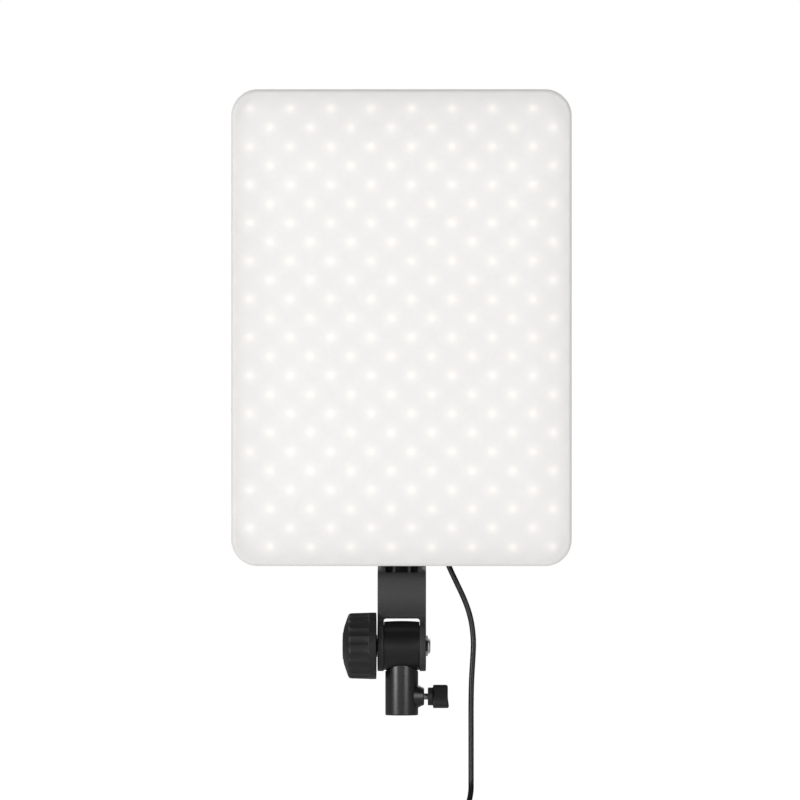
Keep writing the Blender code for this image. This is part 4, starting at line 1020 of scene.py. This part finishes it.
def build_screws():
    """Pan-head screws with a hexagon socket: four each for bracket, case and control box."""
    for group, head in (("bracket", 2.8), ("case", 2.9), ("box", 2.8)):
        for number in range(1, 5):
            name = f"{group}_screw_{number}"
            low, high = box_mm(name)
            head_h = 2.0
            seat = high.y - head_h - low.y
            profile = soften([(0.8, 0.0), (1.5, 0.7), (1.5, seat), (head, seat), (head, seat + 0.7),
                              (head * 0.86, seat + head_h), (head * 0.52, seat + head_h)], 0.35)
            sockets = [hexagon(head * 0.5, z, 48) for z in (seat + head_h, seat + head_h * 0.4)]
            x, z = centre_xz(name)
            piece(f"{name}_head", skin(circles(profile, 48) + sockets), "steel",
                  "light_panel", [name], (x, low.y, z), PLUS_Y)


# ---- power lead ----
CORD_R = 2.0
TURN_STEP = 4.15               # from the middle of one turn to the next
COIL_R = 22.0
BEND_R = 16.0


def hanging_route():
    """The route of part.py's lead, from inside the plug's relief down to where the coil begins."""
    return [(JACK_X, JACK_Y, 137.8), (JACK_X, JACK_Y, 135.8), (29.3, 14.0, 129.5), (30.6, 13.8, 121.5),
            (34.6, 13.2, 109.7), (39.9, 12.4, 98.2), (45.2, 11.8, 86.9), (48.8, 11.4, 77.5),
            (51.3, 11.2, 67.7), (52.5, 11.1, 57.8), (52.7, 11.1, 50.0), (52.2, 11.2, 40.0),
            (51.4, 11.4, 26.0), (51.0, 11.5, 8.0), (51.0, 11.5, -16.0), (51.0, 11.5, -42.0)]


def coil_slots():
    """Radius and depth of each turn's place, in the order in which it is wound, from the inside out."""
    slots = []
    for layer in (-1, 0, 1):
        order = (1, 0, -1) if layer == 0 else (-1, 0, 1)
        slots += [(COIL_R + layer * TURN_STEP, row * TURN_STEP) for row in order]
    return slots


def coil_path():
    """Nine turns; a turn changes place only where the next place has just been left."""
    slots = coil_slots()
    windows = (70.0, 70.0, 25.0, -20.0, -20.0, -65.0, -110.0, -110.0)
    width = 45.0
    changes = [start + 360.0 * (turn + 1) for turn, start in enumerate(windows)]
    reach = COIL_R + TURN_STEP + BEND_R
    last = 180.0 + math.degrees(math.acos(BEND_R / reach)) + 360.0 * 8
    centre = COIL_CENTRE
    points = []
    angle = 186.0
    while angle < last:
        radius, depth = slots[0]
        for change, before, after in zip(changes, slots, slots[1:]):
            share = min(1.0, max(0.0, (angle - change) / width))
            share = share * share * (3 - 2 * share)
            radius += (after[0] - before[0]) * share
            depth += (after[1] - before[1]) * share
        x, z = polar(radius, math.radians(angle))
        points.append((centre.x + x, centre.y + depth, centre.z + z))
        angle += 4.0
    # the far end bends out of the outer turn and hangs down to the adapter
    leave = math.radians(last)
    bend_centre = (centre.x - BEND_R, centre.z - math.sqrt(reach ** 2 - BEND_R ** 2))
    start = math.pi - (math.pi / 2 - (leave % (2 * math.pi) - math.pi)) - math.pi / 2
    depth = TURN_STEP
    for step in range(9):
        share = step / 8
        turn = start * (1 - share)
        fade = share * share * (3 - 2 * share)
        x, z = polar(BEND_R, turn)
        points.append((bend_centre[0] + x, centre.y + depth * (1 - 0.8 * fade), bend_centre[1] + z))
    points.append((centre.x, centre.y + 0.1 * depth, RELIEF_HIGH.z + 0.2))
    points += [(centre.x, centre.y, z) for z in (RELIEF_HIGH.z - 3.0, RELIEF_LOW.z + 1.0)]
    return points


def even_points(points, spacing):
    """The same line with its points evenly spread."""
    points = [Vector(point) for point in points]
    ends = [0.0]
    for a, b in zip(points, points[1:]):
        ends.append(ends[-1] + (b - a).length)
    count = round(ends[-1] / spacing)
    even = []
    at = 0
    for step in range(count + 1):
        goal = ends[-1] * step / count
        while at < len(points) - 2 and ends[at + 1] < goal:
            at += 1
        share = (goal - ends[at]) / (ends[at + 1] - ends[at])
        even.append(points[at].lerp(points[at + 1], share))
    return even


def tube(points, radius, sides=16):
    """A closed round tube along a line, its rings turned as little as possible."""
    side = Vector((1.0, 0.0, 0.0))
    rings = []
    for i, point in enumerate(points):
        along = (points[min(i + 1, len(points) - 1)] - points[max(i - 1, 0)]).normalized()
        side = (side - along * side.dot(along)).normalized()
        up = along.cross(side)
        ring = []
        for k in range(sides):
            angle = 2 * math.pi * k / sides
            ring.append(point + radius * (side * math.cos(angle) + up * math.sin(angle)))
        rings.append(ring)
    return skin(rings)


def build_lead():
    into_coil = [(51.0, 10.9, -49.0), (50.8, 8.2, -57.0), (48.9, 4.6, -65.5), (44.3, 3.1, -75.0),
                 (38.7, 3.2, -84.0), (34.9, 5.0, -91.0)]
    coil = coil_path()
    path = smooth_curve(hanging_route() + into_coil + coil[:2], 8)[:-1]
    path = even_points(path + coil[2:], 1.7)
    lead = link("power_lead_jacket", to_mesh(tube(path, CORD_R), "power_lead_jacket"))
    lead.data.materials.append(MATERIALS["cord"])
    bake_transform(lead)
    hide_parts("power_lead", "lead_coil", "lead_tail")


def relief(low, high, r_low, r_high, segments, taper, waist):
    """Profile of a segmented strain relief; each segment narrows by taper and ends in a waist."""
    profile = []
    step = (high - low) / segments
    for segment in range(segments):
        z = low + step * segment
        r = r_low + (r_high - r_low) * (segment / segments)
        profile += [(r, z), (r - taper, z + step * 0.62), (waist, z + step * 0.68), (waist, z + step * 0.92)]
    return profile


def build_plug():
    """Moulded DC plug: ringed grip and a segmented strain relief, with its barrel in the jack."""
    profile = [(3.05, -9.0), (3.05, 0.0), (4.8, 0.0), (5.2, -0.5), (5.2, -4.0)]
    for groove in range(5):
        z = -4.6 - 2.0 * groove
        profile += [(5.2, z), (4.7, z - 0.35), (4.7, z - 0.75), (5.2, z - 1.1)]
    profile += [(5.2, -16.0), (4.6, -18.5), (3.4, -20.0)]
    low = PLUG_LOW.z - PLUG_HIGH.z
    profile += relief(-20.6, low, 3.3, 2.4, 7, 0.12, 2.2) + [(2.4, low + 0.6), (2.4, low)]
    return piece("dc_plug_moulding", turned(profile, 0.12, 64), "cord", "light_panel",
                 ["dc_plug"], (JACK_X, JACK_Y, PLUG_HIGH.z))


def build_tie():
    """A woven strap round the turns."""
    low, high = box_mm("coil_tie")
    centre = (low + high) / 2
    half = (high.x - low.x) / 2
    half_w = (high.z - low.z) / 2
    thick = 0.8
    edge = 0.3

    def ring(half_size, z):
        return [(u, v, z) for u, v in rounded_rect(2 * half_size, 2 * half_size, 3.2, 8)]

    rings = [ring(half - edge, -half_w), ring(half, -half_w + edge), ring(half, half_w - edge),
             ring(half - edge, half_w), ring(half - thick, half_w), ring(half - thick, -half_w)]
    return piece("coil_strap", skin(rings, closed=True), "strap", "stand_head", ["coil_tie"], centre)


def build_adapter():
    """Two soft-edged shells that meet in a fine seam, and the segmented relief at the top."""
    width = ADAPTER_HIGH.x - ADAPTER_LOW.x
    height = ADAPTER_HIGH.z - ADAPTER_LOW.z
    x, z = centre_xz("adapter_front")
    centre = (x, ADAPTER_HIGH.y + 0.15, z)
    wall = 2.0
    edge = 3.0
    made = []
    for name, y_open, y_shut in (("front", -0.15, ADAPTER_LOW.y - centre[1]),
                                 ("back", 0.15, ADAPTER_BACK_HIGH.y - centre[1])):
        out = math.copysign(1.0, y_shut)

        def ring(inset, y):
            return facing_y(rounded_rect(width - 2 * inset, height - 2 * inset, 7.0 - inset, 12), y)

        rings = [ring(wall, y_shut - out * wall), ring(wall, y_open), ring(0.3, y_open),
                 ring(0.08, y_open + out * 0.1), ring(0.0, y_open + out * 0.3)]
        rings += [ring(edge * inset, y_shut - out * edge * depth) for inset, depth in quarter(8)]
        shell = piece(f"adapter_shell_{name}", skin(rings), "black", "stand_head",
                      [f"adapter_{name}"], centre)
        cuts = [rod("Z", ADAPTER_HIGH.z - 6, ADAPTER_HIGH.z + 2, 3.4, centre[:2], 48)]
        if name == "back":
            low, high = box_mm("prong_carrier")
            opening = rounded_rect(high.x - low.x + 0.6, high.z - low.z + 0.6, 0.6, 4)
            cuts.append(slab(opening, centre[1] + 5.0, high.y + 3.0, centre_xz("prong_carrier")))
        shape_with(shell, skin(*cuts))
        made.append(shell)
    low = RELIEF_LOW.z
    length = RELIEF_HIGH.z - low
    profile = [(3.0, 0.0), (3.0, 4.3), (4.4, 4.4), (4.4, 6.0), (3.5, 6.6)]
    profile += relief(7.0, length - 0.2, 3.5, 2.6, 6, 0.1, 2.3) + [(2.5, length - 0.5), (2.3, length)]
    centre_xy = ((RELIEF_LOW.x + RELIEF_HIGH.x) / 2, (RELIEF_LOW.y + RELIEF_HIGH.y) / 2)
    made.append(piece("adapter_relief_moulding", turned(profile, 0.12, 64), "cord", "stand_head",
                      ["adapter_relief"], (*centre_xy, low)))
    return made


# ---- CAD nodes that keep their shape ----
def dress_frame():
    finishes = {
        "steel": ["tube_screw", "plug_barrel", "prong_left", "prong_right", "brightness_shaft", "colour_shaft",
                  "brightness_pot", "colour_pot"],
        "brass": ["clamp_pad", "knob_insert"],
        "fibre": ["friction_disc_left", "friction_disc_right"],
        "film": ["diffusion_sheet"],
        "white": ["led_board"],
        "black": ["diffuser_catch_left", "diffuser_catch_right", "dc_jack", "prong_carrier"],
        "board": ["control_board", "adapter_board"],
        "wire": ["led_lead"],
        "dark_glass": ["display_module"],
    }
    for finish, nodes in finishes.items():
        for node in nodes:
            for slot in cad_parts[node].material_slots:
                slot.material = MATERIALS[finish]


# ---- stage, light and camera ----
VIEW_DISTANCE = 8.0
VIEW_WIDTH = 0.588
VIEW_CENTRE = (-0.00116, -0.012, 0.232)
CAMERA_X = 0.08
LIGHT_TARGET = (0.0, 0.0, 0.2)
FLOOR_SEEN = 1.0
FLOOR_LIT = 0.20
WORLD_SEEN = 1.0
WORLD_LIT = 0.02


def seen_or_lit(tree, shader, seen, lit):
    """Brightness of the backdrop: one value as seen, another as a source of light."""
    path = tree.nodes.new("ShaderNodeLightPath")
    mix = tree.nodes.new("ShaderNodeMapRange")
    mix.inputs["To Min"].default_value = lit
    mix.inputs["To Max"].default_value = seen
    tree.links.new(path.outputs["Is Camera Ray"], mix.inputs["Value"])
    tree.links.new(mix.outputs["Result"], shader.inputs["Strength"])


def build_stage():
    low = CAD_BOX[0][2] / MM - 1.0
    disc = circles([(40000.0, low - 20.0), (40000.0, low)], 128)
    floor = link("floor", to_mesh(skin(disc), "floor"))
    n = Nodes("pale_floor")
    n.set("Base Color", (0.5, 0.5, 0.5, 1.0))
    n.set("Roughness", 0.9)
    glow = n.add("ShaderNodeEmission")
    seen_or_lit(n.tree, glow, FLOOR_SEEN, FLOOR_LIT)
    both = n.add("ShaderNodeAddShader")
    n.join(n.shader.outputs[0], both.inputs[0])
    n.join(glow.outputs[0], both.inputs[1])
    n.join(both.outputs[0], n.tree.nodes["Material Output"].inputs["Surface"])
    floor.data.materials.append(n.material)
    world = bpy.data.worlds.new("studio")
    bpy.context.scene.world = world
    world.use_nodes = True
    background = world.node_tree.nodes["Background"]
    background.inputs["Color"].default_value = (1.0, 1.0, 1.0, 1.0)
    seen_or_lit(world.node_tree, background, WORLD_SEEN, WORLD_LIT)


def softbox(name, azimuth, elevation, distance, size, radiance):
    """An area light; azimuth 0 is the viewer's side and grows to the right."""
    light = bpy.data.lights.new(name, "AREA")
    light.shape = "RECTANGLE"
    light.size, light.size_y = size
    light.energy = radiance * math.pi * size[0] * size[1]
    obj = bpy.data.objects.new(name, light)
    bpy.context.scene.collection.objects.link(obj)
    turn = math.radians(azimuth)
    rise = math.radians(elevation)
    away = Vector((math.sin(turn) * math.cos(rise), -math.cos(turn) * math.cos(rise), math.sin(rise)))
    obj.location = Vector(LIGHT_TARGET) + away * distance
    obj.rotation_euler = away.to_track_quat("Z", "Y").to_euler()


def build_lights():
    softbox("key_left", -43.0, 2.0, 2.2, (0.64, 1.3), 8.6)
    softbox("key_right", 32.0, 2.0, 2.2, (0.7, 1.3), 4.2)
    softbox("front_fill", -6.0, -2.0, 3.4, (1.2, 0.8), 0.9)
    softbox("back_left", -140.0, 35.0, 2.6, (1.2, 1.2), 2.2)
    softbox("back_right", 150.0, 30.0, 2.6, (1.2, 1.2), 2.6)


def build_camera():
    data = bpy.data.cameras.new("camera")
    data.sensor_width = 36.0
    data.lens = data.sensor_width * VIEW_DISTANCE / VIEW_WIDTH
    data.clip_end = 100.0
    camera = bpy.data.objects.new("camera", data)
    bpy.context.scene.collection.objects.link(camera)
    centre = Vector(VIEW_CENTRE)
    camera.location = centre + Vector((CAMERA_X, -VIEW_DISTANCE, 0.0))
    camera.rotation_euler = (camera.location - centre).to_track_quat("Z", "Y").to_euler()
    bpy.context.scene.camera = camera
    bpy.context.scene.view_settings.view_transform = "Standard"


MATERIALS = build_materials()
for build in (build_hub, build_tube, build_thumbscrew, build_yoke, build_bolt, build_knob, build_diffuser,
              build_rear_case, build_control_box, build_dials, build_switch, build_screws):
    build()
plug = build_plug()
strap = build_tie()
adapter = build_adapter()
build_lead()
for build in (dress_frame, build_stage, build_lights, build_camera):
    build()
